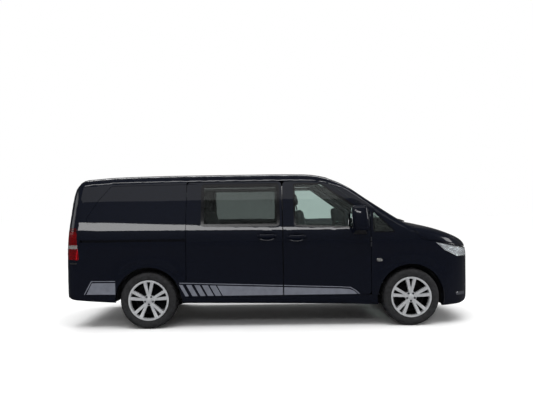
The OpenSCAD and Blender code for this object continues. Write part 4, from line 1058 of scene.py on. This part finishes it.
for side, hand in ((1, "left"), (-1, "right")):
    starts = [-1.072] + [x + w for x, w in SLASHES]
    ends = [x for x, _ in SLASHES] + [SHUT_REAR]
    for i, (x0, x1) in enumerate(zip(starts, ends)):
        (a, b), (c, d) = leaning(x0), leaning(x1)
        if i == len(SLASHES):
            c, d = (x1, band_top(x1)), (x1, BAND_LOW)
        film(f"side_band_{i}_{hand}", [a, c, d, b], "body", side)
    film(f"door_band_{hand}", [(SHUT_FRONT, band_top(SHUT_FRONT)), (0.8, band_top(0.8)), (0.92, band_top(0.92) - 0.004),
                               (0.985, BAND_LOW + 0.035), (1.02, BAND_LOW), (SHUT_FRONT, BAND_LOW)],
         "door_" + hand, side)
    low, high = LINE_GAP, LINE_GAP + LINE_W
    film(f"side_line_{hand}", [(-1.14, band_top(-1.14) + low), (-1.145, band_top(-1.145) + high),
                               (SHUT_REAR, band_top(SHUT_REAR) + high), (SHUT_REAR, band_top(SHUT_REAR) + low)],
         "body", side)
    film(f"door_line_{hand}", [(SHUT_FRONT, band_top(SHUT_FRONT) + low), (SHUT_FRONT, band_top(SHUT_FRONT) + high),
                               (0.81, band_top(0.81) + high), (0.935, band_top(0.935) + high - 0.004),
                               (1.005, BAND_LOW + 0.046), (1.05, BAND_LOW), (1.036, BAND_LOW),
                               (0.995, BAND_LOW + 0.04), (0.93, band_top(0.93) + low - 0.004),
                               (0.81, band_top(0.81) + low)], "door_" + hand, side)
    film(f"tail_band_{hand}", [(-1.925, 0.566), (-2.215, 0.566), (-2.285, 0.426), (-1.925, 0.426)], "body", side)
    film(f"tail_line_{hand}", [(-1.925, 0.582), (-1.925, 0.591), (-2.224, 0.591), (-2.318, 0.426), (-2.305, 0.426),
                               (-2.216, 0.582)], "body", side)


# Studio: pale floor, soft lights and the photograph's view
FLOOR_SIZE = 300
bm = bmesh.new()
bmesh.ops.create_grid(bm, x_segments=1, y_segments=1, size=FLOOR_SIZE)
mesh = bpy.data.meshes.new("studio_floor")
bm.to_mesh(mesh)
bm.free()
floor = bpy.data.objects.new("studio_floor", mesh)
bpy.context.scene.collection.objects.link(floor)
FLOOR, tree, shader, coords = material("pale_studio_floor", "f4f4f4", Roughness=0.7, Specular_IOR_Level=0.1)
speckle(tree, shader, coords, 900, "f1f1f1", "f6f6f6")
# the paint mirrors a dim floor
tone = shader.inputs["Base Color"].links[0].from_socket
path = add(tree, "ShaderNodeLightPath")
dimmed = add(tree, "ShaderNodeMixRGB", {"Fac": path.outputs["Is Glossy Ray"], "Color1": tone}, Color2=srgb("3c3c40"))
tree.links.new(dimmed.outputs["Color"], shader.inputs["Base Color"])
mesh.materials.append(FLOOR)

# The room is white to the eye and through glass, and dimmer to gloss and to light itself
world = bpy.data.worlds.new("studio_room")
bpy.context.scene.world = world
world.use_nodes = True
tree = world.node_tree
backdrop = tree.nodes["Background"]
backdrop.inputs["Color"].default_value = srgb("ffffff")
path = add(tree, "ShaderNodeLightPath")
seen = add(tree, "ShaderNodeMath", {0: path.outputs["Is Camera Ray"], 1: path.outputs["Is Transmission Ray"]},
           operation="MAXIMUM")
gloss = add(tree, "ShaderNodeMapRange", {"Value": path.outputs["Is Glossy Ray"]}, To_Min=0.42, To_Max=0.07)
level = add(tree, "ShaderNodeMapRange", {"Value": seen.outputs["Value"], "To Min": gloss.outputs["Result"]}, To_Max=1.0)
tree.links.new(level.outputs["Result"], backdrop.inputs["Strength"])


def aimed(name, data, place, target):
    """Links a lamp, points it and returns it."""
    lamp = bpy.data.objects.new(name, data)
    bpy.context.scene.collection.objects.link(lamp)
    lamp.location = place
    lamp.rotation_euler = (Vector(target) - Vector(place)).to_track_quat("-Z", "Y").to_euler()
    return lamp


def soft_light(name, place, target, width, height, watts):
    """A large soft studio panel aimed at a point."""
    data = bpy.data.lights.new(name, "AREA")
    data.shape = "RECTANGLE"
    data.size = width
    data.size_y = height
    data.energy = watts
    aimed(name, data, place, target)


sky = bpy.data.lights.new("ceiling_wash", "SUN")
sky.energy = 2.5
sky.angle = math.radians(70)
# The paint mirrors the panels, and not the wash
aimed("ceiling_wash", sky, (0, 0, 10), (0, 0.6, 0)).visible_glossy = False
soft_light("side_panel", (-0.3, -5, 9), (-0.3, 0, 1.4), 12, 0.9, 190)
soft_light("far_side_panel", (-0.3, 5, 9), (-0.3, 0, 1.4), 12, 0.9, 260)
soft_light("front_panel", (8, -2.5, 3.6), (1.5, 0, 0.8), 3, 2, 90)
soft_light("rear_panel", (-8, -2, 3.6), (-1.5, 0, 0.8), 3, 2, 30)
soft_light("shoulder_strip", (-2, -10, 5.6), (-0.5, 0, 1.2), 10, 0.5, 120)
soft_light("upper_strip", (0, -8, 8), (0, 0, 1.2), 14, 2.5, 60)

camera_data = bpy.data.cameras.new("camera")
camera_data.sensor_width = 36
camera_data.lens = 36.27
camera_data.shift_y = 0.031
camera = bpy.data.objects.new("camera", camera_data)
bpy.context.scene.collection.objects.link(camera)
camera.location = (-0.075, -7.464, 1.35)
camera.rotation_euler = (math.radians(90), math.radians(0.8), 0)
bpy.context.scene.camera = camera
bpy.context.scene.view_settings.view_transform = "Standard"

SKIN.free()
